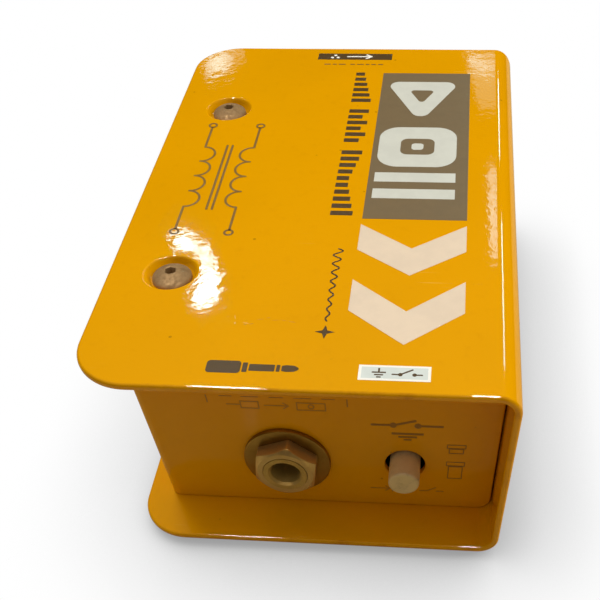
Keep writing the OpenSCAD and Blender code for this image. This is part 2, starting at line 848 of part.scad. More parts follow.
outer_cover();
inner_chassis();
cover_screws();
clinch_nuts();
base_pad();
jack_housing();
jack_bushing();
jack_washer();
jack_nut();
jack_tip_spring();
jack_pins();
switch_body();
switch_plunger();
button_cap();
switch_contacts();
switch_spring();
switch_latch_pin();
switch_terminals();
xlr_shell();
xlr_insert();
xlr_contacts();
xlr_latch();
xlr_latch_spring();
xlr_pivot_pin();
xlr_screws();
circuit_board();
board_standoffs();
board_screws();
transformer_can();
transformer_base();
transformer_core();
transformer_bobbin();
transformer_winding();
transformer_pins();
resistors();
film_capacitors();
ground_stud();
ground_lug();
ground_nut();
ground_wire();
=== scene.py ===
import math
import random
import bpy
import numpy as np
from mathutils import Matrix, Vector
from mathutils.geometry import delaunay_2d_cdt


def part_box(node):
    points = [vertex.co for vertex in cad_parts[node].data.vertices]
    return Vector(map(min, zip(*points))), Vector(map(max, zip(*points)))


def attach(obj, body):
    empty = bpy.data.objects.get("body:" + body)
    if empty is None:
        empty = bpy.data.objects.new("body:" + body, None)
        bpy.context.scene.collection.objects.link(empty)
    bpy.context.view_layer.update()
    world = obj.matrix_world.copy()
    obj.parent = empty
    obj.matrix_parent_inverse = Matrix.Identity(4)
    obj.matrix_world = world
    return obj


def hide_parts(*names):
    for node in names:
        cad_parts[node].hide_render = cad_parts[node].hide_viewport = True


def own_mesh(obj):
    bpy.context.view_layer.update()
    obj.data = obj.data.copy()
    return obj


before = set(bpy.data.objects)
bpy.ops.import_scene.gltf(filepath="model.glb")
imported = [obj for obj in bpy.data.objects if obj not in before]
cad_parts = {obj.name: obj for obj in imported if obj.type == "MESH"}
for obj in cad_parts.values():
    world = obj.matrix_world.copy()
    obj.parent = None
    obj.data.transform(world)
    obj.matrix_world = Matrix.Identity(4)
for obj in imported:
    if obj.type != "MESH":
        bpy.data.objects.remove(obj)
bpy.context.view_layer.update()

MM = 0.001
TAU = 2 * math.pi
rng = random.Random(7)

# ------------------------------------------------------------------ sizes, in mm, read from the frame
def box(node):
    lo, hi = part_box(node)
    return np.array(lo) / MM, np.array(hi) / MM

c_lo, c_hi = box("outer_cover")
HW, HL = (c_hi[0] - c_lo[0]) / 2, (c_hi[1] - c_lo[1]) / 2
ZB, ZT = c_lo[2], c_hi[2]
ZM = (ZB + ZT) / 2
i_lo, i_hi = box("inner_chassis")
PX0, PX1, PY = i_lo[0], i_hi[0], i_hi[1]
CZ0, CZ1 = i_lo[2], i_hi[2]
SHEET = 1.5
BEND = 4.5
CORNER = 11.0
s_lo, s_hi = box("cover_screws")
SX = s_lo[0] + 3.96
SY = s_hi[1] - 3.96
w_lo, w_hi = box("jack_washer")
JX, JZ, JR = (w_lo[0] + w_hi[0]) / 2, (w_lo[2] + w_hi[2]) / 2, (w_hi[0] - w_lo[0]) / 2
b_lo, b_hi = box("button_cap")
BX, BZ, BR = (b_lo[0] + b_hi[0]) / 2, (b_lo[2] + b_hi[2]) / 2, (b_hi[0] - b_lo[0]) / 2

# ------------------------------------------------------------------ mesh helpers
def make(name, verts, faces, body, mat, smooth=None, normals=None, edge=None, slots=None):
    """A piece from points in mm. smooth is the sharp-edge angle in degrees; normals are per vertex."""
    me = bpy.data.meshes.new(name)
    me.from_pydata([tuple(float(c) * MM for c in v) for v in verts], [], [tuple(int(i) for i in f) for f in faces])
    me.validate()
    mats = mat if isinstance(mat, (list, tuple)) else [mat]
    for m in mats:
        me.materials.append(m)
    if slots is not None:
        me.polygons.foreach_set("material_index", np.array(slots, np.int32))
    me.polygons.foreach_set("use_smooth", np.ones(len(me.polygons), bool))
    if edge is not None:
        a = me.attributes.new("edge", "FLOAT", "POINT")
        a.data.foreach_set("value", np.array(edge, np.float32))
    if normals is not None:
        me.normals_split_custom_set_from_vertices([tuple(map(float, n)) for n in normals])
    elif smooth is not None:
        me.set_sharp_from_angle(angle=math.radians(smooth))
    me.update()
    o = bpy.data.objects.new(name, me)
    bpy.context.scene.collection.objects.link(o)
    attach(o, body)
    return o

def arc(cx, cy, r, a0, a1, n):
    return [(cx + r * math.cos(math.radians(a0 + (a1 - a0) * i / n)), cy + r * math.sin(math.radians(a0 + (a1 - a0) * i / n))) for i in range(n + 1)]

def circle(cx, cy, r, n=64, ccw=True, a0=0.0):
    pts = [(cx + r * math.cos(a0 + TAU * i / n), cy + r * math.sin(a0 + TAU * i / n)) for i in range(n)]
    return pts if ccw else pts[::-1]

def fillet(pts, radii, n=5, closed=True):
    """Rounds the corners of a polygon."""
    out = []
    m = len(pts)
    for i, p in enumerate(pts):
        r = radii[i] if isinstance(radii, (list, tuple)) else radii
        if (not closed and i in (0, m - 1)) or r <= 0:
            out.append(tuple(p))
            continue
        p = np.array(p, float)
        a = np.array(pts[i - 1], float) - p
        b = np.array(pts[(i + 1) % m], float) - p
        la, lb = np.linalg.norm(a), np.linalg.norm(b)
        a, b = a / la, b / lb
        cosw = float(np.clip(a @ b, -1, 1))
        half = math.acos(cosw) / 2
        if abs(half - math.pi / 2) < 1e-4:
            out.append(tuple(p))
            continue
        d = min(r / math.tan(half), la * 0.499, lb * 0.499)
        rr = d * math.tan(half)
        bis = (a + b) / np.linalg.norm(a + b)
        c = p + bis * rr / math.sin(half)
        s, e = p + a * d, p + b * d
        a0, a1 = math.atan2(*(s - c)[::-1]), math.atan2(*(e - c)[::-1])
        da = (a1 - a0 + math.pi) % TAU - math.pi
        for k in range(n + 1):
            t = a0 + da * k / n
            out.append((c[0] + rr * math.cos(t), c[1] + rr * math.sin(t)))
    return out

def insert_on(loop, axis, value):
    """Adds a point wherever the loop crosses the line u or v = value."""
    out = []
    m = len(loop)
    for i in range(m):
        p, q = loop[i], loop[(i + 1) % m]
        out.append(p)
        a, b = p[axis] - value, q[axis] - value
        if abs(a) < 1e-7 or abs(b) < 1e-7:
            continue
        if a * b < 0:
            t = a / (a - b)
            r = [p[0] + (q[0] - p[0]) * t, p[1] + (q[1] - p[1]) * t]
            r[axis] = value
            out.append(tuple(r))
    return out

def loop_normals(loop):
    """Unit offset directions, scaled for the corner, to the right of travel."""
    p = np.array(loop, float)
    d = np.roll(p, -1, 0) - p
    d /= np.linalg.norm(d, axis=1)[:, None]
    n = np.stack([d[:, 1], -d[:, 0]], 1)
    a = n + np.roll(n, 1, 0)
    k = (a * a).sum(1) / 2
    return a / np.maximum(k, 0.25)[:, None]

def sheet(name, loops, fold, thick, re, body, mat, lines=(), rings=(), dimples=(), steps=3, flip=False):
    """A folded sheet: outline and holes in the flat pattern, folded by fold(u, v), with rounded edges all round.
    dimples: (u, v, outer profile, inner profile), each profile a function of radius giving depth."""
    base, normal, radius = [], [], []
    for k, loop in enumerate(loops):
        r = re[k] if isinstance(re, (list, tuple)) else re
        nn = loop_normals(loop)
        base.append(np.array(loop, float) - nn * r)
        normal.append(nn)
        radius.append(r)
    pts = [tuple(p) for b in base for p in b]
    cons, start, faces_in = [], 0, []
    for b in base:
        idx = list(range(start, start + len(b)))
        faces_in.append(idx if not faces_in else idx[::-1])
        start += len(b)
    for axis, value, lo, hi in lines:
        on = [i for i, p in enumerate(pts) if abs(p[axis] - value) < 1e-6 and lo - 1 <= p[1 - axis] <= hi + 1]
        on.sort(key=lambda i: pts[i][1 - axis])
        if len(on) >= 2:
            cons.append((on[0], on[-1]))
    for ring in rings:
        s0 = len(pts)
        pts += [tuple(p) for p in ring]
        cons += [(s0 + i, s0 + (i + 1) % len(ring)) for i in range(len(ring))]
    res = delaunay_2d_cdt([Vector(p) for p in pts], cons, faces_in, 0, 1e-7, True)
    v2 = np.array([tuple(v) for v in res[0]], float)
    back_of = {}
    for j, src in enumerate(res[3]):
        for s in src:
            back_of[s] = j
    hole_ids = set(range(1, len(loops)))
    tris = [f for f, ids in zip(res[2], res[5]) if 0 in ids and not (hole_ids & set(ids))]

    def place(uv, depth_out, side):
        """side 0: outer skin and edge; side 1: inner skin"""
        P, N, Tu, Tv = fold(uv[:, 0], uv[:, 1])
        h = np.zeros(len(uv))
        gu, gv = np.zeros(len(uv)), np.zeros(len(uv))
        for du, dv, f_out, f_in in dimples:
            f = f_in if side else f_out
            x, y = uv[:, 0] - du, uv[:, 1] - dv
            r = np.hypot(x, y)
            near = r < 12
            e = 1e-3
            hh = f(r)
            g = (f(r + e) - f(np.maximum(r - e, 0))) / (2 * e)
            h += np.where(near, hh, 0)
            gu += np.where(near & (r > 1e-6), g * x / np.maximum(r, 1e-6), 0)
            gv += np.where(near & (r > 1e-6), g * y / np.maximum(r, 1e-6), 0)
        Nn = N + gu[:, None] * Tu + gv[:, None] * Tv
        Nn /= np.linalg.norm(Nn, axis=1)[:, None]
        return P - (h + depth_out)[:, None] * N, Nn, N, Tu, Tv

    verts, norms, edge = [], [], []
    Po, No, N0, Tu, Tv = place(v2, np.zeros(len(v2)), 0)
    Pi, Ni, *_ = place(v2, np.full(len(v2), thick), 1)
    nv = len(v2)
    verts += list(Po) + list(Pi)
    norms += list(No) + list(-Ni)
    edge += [0.0] * (2 * nv)
    right = float(np.linalg.det(np.stack([Tu[0], Tv[0], N0[0]]))) > 0
    faces = []
    for f in tris:
        a = list(f) if right else list(f)[::-1]
        faces.append(a)
        faces.append([i + nv for i in a[::-1]])
    for b, nn, r in zip(base, normal, radius):
        m = len(b)
        uo = nn / np.linalg.norm(nn, axis=1)[:, None]
        prof = []
        for k in range(1, steps + 1):
            a = math.pi / 2 * k / steps
            prof.append((math.sin(a), r * (1 - math.cos(a)), math.cos(a), math.sin(a)))
        for k in range(steps, 0, -1):
            a = math.pi / 2 * k / steps
            prof.append((math.sin(a), thick - r * (1 - math.cos(a)), -math.cos(a), math.sin(a)))
        first = sum(len(x) for x in base[:[id(y) for y in base].index(id(b))])
        idx_prev = [back_of[first + i] for i in range(m)]
        for s, depth, cn, so in prof:
            uv = b + nn * (r * s)
            P, _, N, tu, tv = place(uv, np.full(m, depth), 0)
            O = uo[:, :1] * tu + uo[:, 1:] * tv
            s0 = len(verts)
            verts += list(P)
            norms += list(cn * N + so * O)
            edge += [1.0] * m
            idx = list(range(s0, s0 + m))
            for i in range(m):
                j = (i + 1) % m
                q = [idx_prev[i], idx[i], idx[j], idx_prev[j]]
                faces.append(q if right else q[::-1])
            idx_prev = idx
        last = [back_of[first + i] + nv for i in range(m)]
        for i in range(m):
            j = (i + 1) % m
            q = [idx_prev[i], last[i], last[j], idx_prev[j]]
            faces.append(q if right else q[::-1])
    used = sorted({i for f in faces for i in f})
    remap = {old: new for new, old in enumerate(used)}
    return make(name, [verts[i] for i in used], [[remap[i] for i in f] for f in faces], body, mat,
                normals=[norms[i] for i in used], edge=[edge[i] for i in used])

def turned(name, profile, frame3, body, mat, n=96, smooth=32, closed=True, twist=None, merge_into=None):
    """A turned part. profile: (r, h) points; frame3: (origin, axis, side) in mm. twist(r, h, angle) may change r."""
    o, ax, sd = [np.array(x, float) for x in frame3]
    up = np.cross(ax, sd)
    verts, faces, poles = [], [], {}
    ids = []
    for k, (r, h) in enumerate(profile):
        if r < 1e-6:
            ids.append([len(verts)] * n)
            verts.append(o + ax * h)
            continue
        row = []
        for i in range(n):
            a = TAU * i / n
            rr, hh = (r, h) if twist is None else twist(r, h, a, k)
            row.append(len(verts))
            verts.append(o + ax * hh + rr * (math.cos(a) * sd + math.sin(a) * up))
        ids.append(row)
    m = len(profile)
    for k in range(m if closed else m - 1):
        A, B = ids[k], ids[(k + 1) % m]
        for i in range(n):
            j = (i + 1) % n
            f = [A[i], A[j], B[j], B[i]]
            f2 = [x for q, x in enumerate(f) if x not in f[:q]]
            if len(f2) >= 3:
                faces.append(f2)
    if merge_into is not None:
        off = len(merge_into[0])
        merge_into[0].extend(verts)
        merge_into[1].extend([[i + off for i in f] for f in faces])
        return None
    return make(name, verts, faces, body, mat, smooth=smooth)

def fill(adds, cuts=()):
    """Union of the polygons in adds, less those in cuts, as triangles."""
    pts, faces = [], []
    for poly in list(adds) + list(cuts):
        turn = sum(poly[i - 1][0] * poly[i][1] - poly[i][0] * poly[i - 1][1] for i in range(len(poly)))
        poly = list(poly) if turn > 0 else list(poly)[::-1]
        faces.append(list(range(len(pts), len(pts) + len(poly))))
        pts += [tuple(p) for p in poly]
    res = delaunay_2d_cdt([Vector(p) for p in pts], [], faces, 0, 1e-6, True)
    k = len(adds)
    tris = [f for f, ids in zip(res[2], res[5]) if any(i < k for i in ids) and not any(i >= k for i in ids)]
    return [tuple(v) for v in res[0]], tris

def ink(name, adds, cuts, place, mat, body="enclosure", up=0.035, flip=False):
    """Printed ink as a thin closed layer. place(a, b, h) gives the point in mm."""
    pts, tris = fill(adds, cuts)
    used = sorted({i for f in tris for i in f})
    remap = {old: new for new, old in enumerate(used)}
    pts = [pts[i] for i in used]
    tris = [[remap[i] for i in f] for f in tris]
    nv = len(pts)
    verts = [place(a, b, up) for a, b in pts] + [place(a, b, -0.02) for a, b in pts]
    faces, count = [], {}
    for f in tris:
        f = list(f)
        area = sum(pts[f[i]][0] * pts[f[(i + 1) % 3]][1] - pts[f[(i + 1) % 3]][0] * pts[f[i]][1] for i in range(3))
        if area < 0:
            f = f[::-1]
        faces.append(f)
        faces.append([i + nv for i in f[::-1]])
        for i in range(3):
            count[(f[i], f[(i + 1) % 3])] = 1
    for (a, b) in list(count):
        if (b, a) not in count:
            faces.append([b, a, a + nv, b + nv])
    if flip:
        faces = [f[::-1] for f in faces]
    return make(name, verts, faces, body, mat, smooth=30)

def stroke(pts, w, closed=False, round_ends=True, n=14):
    """A line of width w as polygons for ink()."""
    out = []
    m = len(pts)
    for i in range(m if closed else m - 1):
        p, q = np.array(pts[i], float), np.array(pts[(i + 1) % m], float)
        d = q - p
        l = np.linalg.norm(d)
        if l < 1e-9:
            continue
        s = np.array([-d[1], d[0]]) / l * w / 2
        out.append([tuple(p - s), tuple(q - s), tuple(q + s), tuple(p + s)])
    for i, p in enumerate(pts):
        if closed or round_ends or 0 < i < m - 1:
            out.append(circle(p[0], p[1], w / 2 * 0.999, n, a0=0.137 * i))
    return out

def rect(x0, x1, y0, y1, r=0.0, n=4):
    x0, x1 = min(x0, x1), max(x0, x1)
    y0, y1 = min(y0, y1), max(y0, y1)
    p = [(x0, y0), (x1, y0), (x1, y1), (x0, y1)]
    return fillet(p, r, n) if r > 0 else p

# ------------------------------------------------------------------ materials
class Nodes:
    """A small helper for building procedural materials in mm."""
    def __init__(self, name):
        self.m = bpy.data.materials.new(name)
        self.m.use_nodes = True
        self.t = self.m.node_tree
        self.t.nodes.clear()
        self.out = self.t.nodes.new("ShaderNodeOutputMaterial")
        self.b = self.t.nodes.new("ShaderNodeBsdfPrincipled")
        self.t.links.new(self.b.outputs[0], self.out.inputs[0])
        tc = self.t.nodes.new("ShaderNodeTexCoord")
        sc = self.t.nodes.new("ShaderNodeVectorMath")
        sc.operation = "SCALE"
        sc.inputs["Scale"].default_value = 1000
        self.t.links.new(tc.outputs["Object"], sc.inputs[0])
        self.mm = sc.outputs[0]
        self.height = None

    def new(self, kind, **kw):
        n = self.t.nodes.new(kind)
        for k, v in kw.items():
            setattr(n, k, v)
        return n

    def link(self, a, b):
        self.t.links.new(a, b)

    def put(self, sock, v):
        if hasattr(v, "is_output") or hasattr(v, "links"):
            self.link(v, sock)
        else:
            sock.default_value = v

    def stretch(self, s, rot=(0, 0, 0)):
        n = self.new("ShaderNodeMapping")
        self.link(self.mm, n.inputs["Vector"])
        n.inputs["Scale"].default_value = s
        n.inputs["Rotation"].default_value = rot
        return n.outputs[0]

    def noise(self, scale, detail=3, rough=0.5, vec=None, distortion=0.0):
        n = self.new("ShaderNodeTexNoise")
        self.link(vec or self.mm, n.inputs["Vector"])
        n.inputs["Scale"].default_value = scale
        n.inputs["Detail"].default_value = detail
        n.inputs["Roughness"].default_value = rough
        n.inputs["Distortion"].default_value = distortion
        return n.outputs["Fac"]

    def voronoi(self, scale, feature="F1", vec=None):
        n = self.new("ShaderNodeTexVoronoi", feature=feature)
        self.link(vec or self.mm, n.inputs["Vector"])
        n.inputs["Scale"].default_value = scale
        return n.outputs["Distance"]

    def span(self, x, a, b, lo=0.0, hi=1.0, smooth=True):
        n = self.new("ShaderNodeMapRange")
        n.interpolation_type = "SMOOTHSTEP" if smooth else "LINEAR"
        self.put(n.inputs["Value"], x)
        n.inputs["From Min"].default_value = a
        n.inputs["From Max"].default_value = b
        n.inputs["To Min"].default_value = lo
        n.inputs["To Max"].default_value = hi
        return n.outputs["Result"]

    def math(self, op, a, b=0.0, c=0.0):
        n = self.new("ShaderNodeMath", operation=op)
        self.put(n.inputs[0], a)
        self.put(n.inputs[1], b)
        self.put(n.inputs[2], c)
        return n.outputs[0]

    def mix(self, fac, a, b):
        n = self.new("ShaderNodeMix", data_type="RGBA")
        self.put(n.inputs[0], fac)
        for s, v in ((n.inputs[6], a), (n.inputs[7], b)):
            if isinstance(v, (tuple, list)):
                s.default_value = (*v[:3], 1.0)
            else:
                self.link(v, s)
        return n.outputs[2]

    def attr(self, name):
        return self.new("ShaderNodeAttribute", attribute_name=name).outputs["Fac"]

    def axis(self):
        n = self.new("ShaderNodeSeparateXYZ")
        self.link(self.mm, n.inputs[0])
        return n.outputs

    def bump(self, height, distance_mm, strength=1.0):
        n = self.new("ShaderNodeBump")
        n.inputs["Strength"].default_value = strength
        n.inputs["Distance"].default_value = distance_mm * MM
        self.put(n.inputs["Height"], height)
        if self.height is not None:
            self.link(self.height, n.inputs["Normal"])
        self.height = n.outputs[0]
        return self

    def done(self, color, rough, metallic=0.0, coat=0.0, coat_rough=0.05, specular=0.5, sheen=0.0, coat_bump=True, ior=1.5, subsurface=0.0):
        b = self.b
        if isinstance(color, (tuple, list)):
            b.inputs["Base Color"].default_value = (*color[:3], 1.0)
        else:
            self.link(color, b.inputs["Base Color"])
        self.put(b.inputs["Roughness"], rough)
        self.put(b.inputs["Metallic"], metallic)
        self.put(b.inputs["Coat Weight"], coat)
        b.inputs["Coat Roughness"].default_value = coat_rough
        b.inputs["Specular IOR Level"].default_value = specular
        b.inputs["IOR"].default_value = ior
        b.inputs["Sheen Weight"].default_value = sheen
        if subsurface:
            b.inputs["Subsurface Weight"].default_value = subsurface
            b.inputs["Subsurface Radius"].default_value = (0.001, 0.0008, 0.0005)
        if self.height is not None:
            self.link(self.height, b.inputs["Normal"])
            if coat_bump:
                self.link(self.height, b.inputs["Coat Normal"])
        return self.m

def srgb(r, g, b):
    f = lambda c: ((c / 255) / 12.92) if c / 255 <= 0.04045 else (((c / 255) + 0.055) / 1.055) ** 2.4
    return (f(r), f(g), f(b))

def powder_coat(name, base, deep, glossy=True):
    k = Nodes(name)
    wide = k.noise(0.028, 2, 0.5)
    fine = k.noise(0.35, 4, 0.6)
    col = k.mix(k.span(wide, 0.3, 0.7), base, [c * 0.955 for c in base])
    col = k.mix(k.math("MULTIPLY", k.span(fine, 0.52, 0.8), 0.10), col, deep)
    # darker grime and thin coat along the edges
    edge = k.attr("edge")
    patch = k.span(k.noise(0.16, 5, 0.65), 0.50, 0.72)
    col = k.mix(k.math("MULTIPLY", k.math("MULTIPLY", edge, patch), 0.55), col, deep)
    # a few specks of dust and pin marks
    speck = k.span(k.voronoi(0.22), 0.09, 0.05)
    gate = k.span(k.noise(0.11, 2, 0.5), 0.56, 0.62)
    col = k.mix(k.math("MULTIPLY", k.math("MULTIPLY", speck, gate), 0.45), col, srgb(120, 74, 8))
    # hairline scratches, in a few areas only
    scr = k.noise(1.0, 2, 0.5, k.stretch((0.05, 2.6, 0.4), (0, 0, 0.35)))
    scr = k.span(scr, 0.725, 0.745)
    scr = k.math("MULTIPLY", scr, k.span(k.noise(0.05, 2, 0.5, k.stretch((1, 1, 1), (0, 0, 1.1))), 0.55, 0.66))
    col = k.mix(k.math("MULTIPLY", scr, 0.35), col, srgb(250, 205, 95))
    rough = k.math("ADD", k.span(fine, 0.3, 0.7, 0.42 if glossy else 0.45, 0.52 if glossy else 0.55), k.math("MULTIPLY", scr, 0.2))
    # orange peel
    k.bump(k.noise(0.55, 2, 0.45), 0.030, 0.55 if glossy else 0.7)
    k.bump(k.noise(2.4, 2, 0.5), 0.004, 0.5)
    k.bump(k.math("MULTIPLY", scr, -1.0), 0.010, 0.6)
    return k.done(col, rough, coat=1.0 if glossy else 0.6, coat_rough=0.035 if glossy else 0.12, specular=0.0)

def metal(name, base, dark, rough=0.3, grain="none", axis_at=None, patina=0.5, spots=0.0, part=1.0):
    k = Nodes(name)
    blot = k.span(k.noise(0.32, 5, 0.6), 0.35, 0.7)
    col = k.mix(k.math("MULTIPLY", blot, patina), base, dark)
    if spots:
        sp = k.span(k.noise(1.6, 4, 0.7), 0.60, 0.70)
        col = k.mix(k.math("MULTIPLY", sp, spots), col, [c * 0.35 for c in dark])
    if grain == "turned":
        # rings round an axis along Y through axis_at
        ax = k.axis()
        dx = k.math("SUBTRACT", ax[0], axis_at[0])
        dz = k.math("SUBTRACT", ax[2], axis_at[1])
        r = k.math("SQRT", k.math("ADD", k.math("MULTIPLY", dx, dx), k.math("MULTIPLY", dz, dz)))
        n = k.new("ShaderNodeTexNoise")
        n.noise_dimensions = "1D"
        k.link(r, n.inputs["W"])
        n.inputs["Scale"].default_value = 9
        n.inputs["Detail"].default_value = 3
        k.bump(n.outputs["Fac"], 0.006, 0.6)
        ro = k.span(n.outputs["Fac"], 0.3, 0.7, rough * 0.8, rough * 1.35)
    elif grain == "brushed":
        n = k.noise(1.0, 3, 0.6, k.stretch((0.25, 6, 6)))
        k.bump(n, 0.004, 0.5)
        ro = k.span(n, 0.3, 0.7, rough * 0.8, rough * 1.3)
    else:
        n = k.noise(1.3, 4, 0.6)
        k.bump(n, 0.005, 0.5)
        ro = k.span(n, 0.3, 0.7, rough * 0.75, rough * 1.35)
    return k.done(col, ro, metallic=part)

def plastic(name, base, rough=0.45, bump=0.006, scale=2.0, var=0.12, dirt=None, dirt_amt=0.3, sss=0.0, specular=0.5):
    k = Nodes(name)
    a = k.noise(0.25, 4, 0.6)
    col = k.mix(k.span(a, 0.3, 0.7), base, [c * (1 - var) for c in base])
    if dirt:
        d = k.span(k.noise(0.55, 5, 0.65), 0.5, 0.75)
        col = k.mix(k.math("MULTIPLY", d, dirt_amt), col, dirt)
    n = k.noise(scale, 3, 0.55)
    k.bump(n, bump, 0.8)
    return k.done(col, k.span(n, 0.3, 0.7, rough * 0.85, rough * 1.2), specular=specular, subsurface=sss)

def ink_mat(name, base, rough=0.4, wear=0.25, under=(0.79, 0.352, 0.004)):
    k = Nodes(name)
    a = k.noise(0.2, 3, 0.6)
    col = k.mix(k.span(a, 0.3, 0.7), base, [min(1, c * 0.93) for c in base])
    w = k.span(k.noise(1.1, 5, 0.7), 0.655, 0.70)
    col = k.mix(k.math("MULTIPLY", w, wear), col, under)
    k.bump(k.noise(0.55, 2, 0.45), 0.020, 0.5)
    k.bump(k.noise(5.0, 2, 0.5), 0.003, 0.5)
    return k.done(col, k.span(a, 0.3, 0.7, rough * 0.9, rough * 1.15), coat=0.1, coat_rough=0.2)

YEL = srgb(231, 161, 0)
YDEEP = srgb(190, 116, 0)
M = {}
M["cover"] = powder_coat("cover_paint", YEL, YDEEP)
M["chassis"] = powder_coat("chassis_paint", srgb(231, 161, 0), YDEEP, glossy=False)
M["screw"] = metal("screw_steel", srgb(152, 124, 84), srgb(118, 92, 58), 0.66, patina=0.6, spots=0.12, part=0.5)
M["zinc"] = metal("zinc_steel", srgb(190, 190, 186), srgb(150, 150, 146), 0.28)
M["washer"] = metal("washer_nickel", srgb(158, 132, 72), srgb(126, 102, 48), 0.36, "turned", (JX, JZ), 0.4)
M["nut"] = metal("nut_nickel", srgb(206, 181, 122), srgb(184, 156, 98), 0.38, patina=0.35, part=0.75)
M["bushing"] = metal("bushing_nickel", srgb(190, 160, 84), srgb(160, 132, 62), 0.5, patina=0.4, part=0.35)
M["brass"] = metal("contact_brass", srgb(214, 186, 120), srgb(170, 140, 80), 0.28)
M["rubber"] = plastic("pad_rubber", (0.018, 0.018, 0.019), 0.75, 0.04, 1.2, 0.2, specular=0.3)
M["black"] = plastic("black_moulding", (0.022, 0.022, 0.023), 0.45, 0.01, 3.0)
M["nylon"] = plastic("natural_nylon", srgb(226, 218, 198), 0.4, 0.008, 2.0)
M["ivory"] = plastic("ivory_button", srgb(224, 200, 146), 0.38, 0.01, 1.4, 0.08, srgb(150, 126, 78), 0.35, 0.05)
M["spring"] = metal("spring_wire", srgb(186, 184, 180), srgb(140, 138, 134), 0.25)
M["shell"] = metal("shell_zinc", srgb(150, 148, 145), srgb(112, 110, 108), 0.33)
M["insert"] = plastic("insert_nylon", (0.02, 0.02, 0.021), 0.5, 0.012, 3.0)
M["latch"] = metal("latch_metal", srgb(172, 170, 164), srgb(128, 126, 120), 0.3, "brushed")
M["blackscrew"] = metal("black_oxide", srgb(52, 52, 54), srgb(28, 28, 30), 0.38)
M["board"] = plastic("board_laminate", srgb(20, 92, 48), 0.3, 0.01, 1.5, 0.2)
M["can"] = metal("can_metal", srgb(190, 186, 178), srgb(150, 146, 138), 0.3, "brushed")
M["core"] = metal("core_steel", srgb(96, 96, 100), srgb(60, 60, 64), 0.45, "brushed")
M["copper"] = metal("winding_copper", srgb(184, 104, 54), srgb(140, 70, 34), 0.3)
M["resistor"] = plastic("resistor_lacquer", srgb(92, 140, 178), 0.3)
M["capacitor"] = plastic("capacitor_body", srgb(150, 40, 30), 0.35)
M["wire"] = plastic("wire_green", srgb(40, 120, 58), 0.4)
M["ink_dark"] = ink_mat("ink_dark", srgb(78, 58, 26), 0.42, 0.35)
M["ink_panel"] = ink_mat("ink_panel", srgb(122, 104, 74), 0.35, 0.10)
M["ink_thin"] = ink_mat("ink_thin", srgb(128, 92, 22), 0.45, 0.45)
M["ink_white"] = ink_mat("ink_white", srgb(255, 252, 240), 0.4, 0.05)
M["ink_pale"] = ink_mat("ink_pale", srgb(218, 226, 220), 0.4, 0.05)
M["ink_silver"] = ink_mat("ink_silver", srgb(213, 214, 202), 0.38, 0.08)
M["ink_cream"] = ink_mat("ink_cream", srgb(234, 213, 186), 0.38, 0.10)
M["ink_front"] = ink_mat("ink_front", srgb(150, 104, 20), 0.45, 0.2)
M["ink_front_thin"] = ink_mat("ink_front_thin", srgb(176, 122, 16), 0.45, 0.35)

# ------------------------------------------------------------------ outer cover
U_T = 2 * HW - BEND
U_A = math.pi * BEND / 2
U_S = (ZT - ZB) - 2 * BEND
U_END = 2 * U_T + 2 * U_A + U_S

def fold_cover(u, v):
    n = len(u)
    P, N, Tu, Tv = (np.zeros((n, 3)) for _ in range(4))
    Tv[:, 1] = 1
    P[:, 1] = v
    a = u < U_T
    P[a, 0], P[a, 2] = -HW + u[a], ZT
    N[a, 2] = 1
    Tu[a, 0] = 1
    b = (u >= U_T) & (u < U_T + U_A)
    th = (u[b] - U_T) / BEND
    P[b, 0], P[b, 2] = HW - BEND + BEND * np.sin(th), ZT - BEND + BEND * np.cos(th)
    N[b, 0], N[b, 2] = np.sin(th), np.cos(th)
    Tu[b, 0], Tu[b, 2] = np.cos(th), -np.sin(th)
    c = (u >= U_T + U_A) & (u < U_T + U_A + U_S)
    P[c, 0], P[c, 2] = HW, ZT - BEND - (u[c] - U_T - U_A)
    N[c, 0] = 1
    Tu[c, 2] = -1
    d = (u >= U_T + U_A + U_S) & (u < U_T + 2 * U_A + U_S)
    th = (u[d] - U_T - U_A - U_S) / BEND
    P[d, 0], P[d, 2] = HW - BEND + BEND * np.cos(th), ZB + BEND - BEND * np.sin(th)
    N[d, 0], N[d, 2] = np.cos(th), -np.sin(th)
    Tu[d, 0], Tu[d, 2] = -np.sin(th), -np.cos(th)
    e = u >= U_T + 2 * U_A + U_S
    P[e, 0], P[e, 2] = HW - BEND - (u[e] - U_T - 2 * U_A - U_S), ZB
    N[e, 2] = -1
    Tu[e, 0] = -1
    return P, N, Tu, Tv

def step_profile(r0, r1, depth):
    def f(r):
        t = np.clip((np.asarray(r, float) - r0) / (r1 - r0), 0, 1)
        s = t * t * t * (t * (6 * t - 15) + 10)
        return depth * (1 - s)
    return f

DIMPLE_OUT = step_profile(4.05, 5.65, 1.5)
DIMPLE_IN = step_profile(4.85, 6.65, 1.5)

def build_cover():
    out = fillet([(0, -HL), (U_END, -HL), (U_END, HL), (0, HL)], CORNER, 28)
    lines = []
    for s0 in (U_T, U_T + U_A + U_S):
        for k in range(0, 13):
            u = s0 + U_A * k / 12
            lines.append((0, u, -HL, HL))
            out = insert_on(out, 0, u)
    centres = [(SX + HW, -SY), (SX + HW, SY), (U_END - (SX + HW), -SY), (U_END - (SX + HW), SY)]
    loops, rings, dim = [out], [], []
    for cu, cv in centres:
        loops.append(circle(cu, cv, 2.35, 48, ccw=False))
        for r in (3.9, 4.05, 4.25, 4.4, 4.55, 4.7, 4.85, 5.0, 5.15, 5.3, 5.45, 5.65, 5.9, 6.2, 6.65, 7.2):
            rings.append(circle(cu, cv, r, 72))
        dim.append((cu, cv, DIMPLE_OUT, DIMPLE_IN))
    o = sheet("cover_shell", loops, fold_cover, SHEET, [0.66] + [0.12] * 4, "enclosure", M["cover"], lines, rings, dim, steps=5)
    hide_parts("outer_cover")
    return o

build_cover()

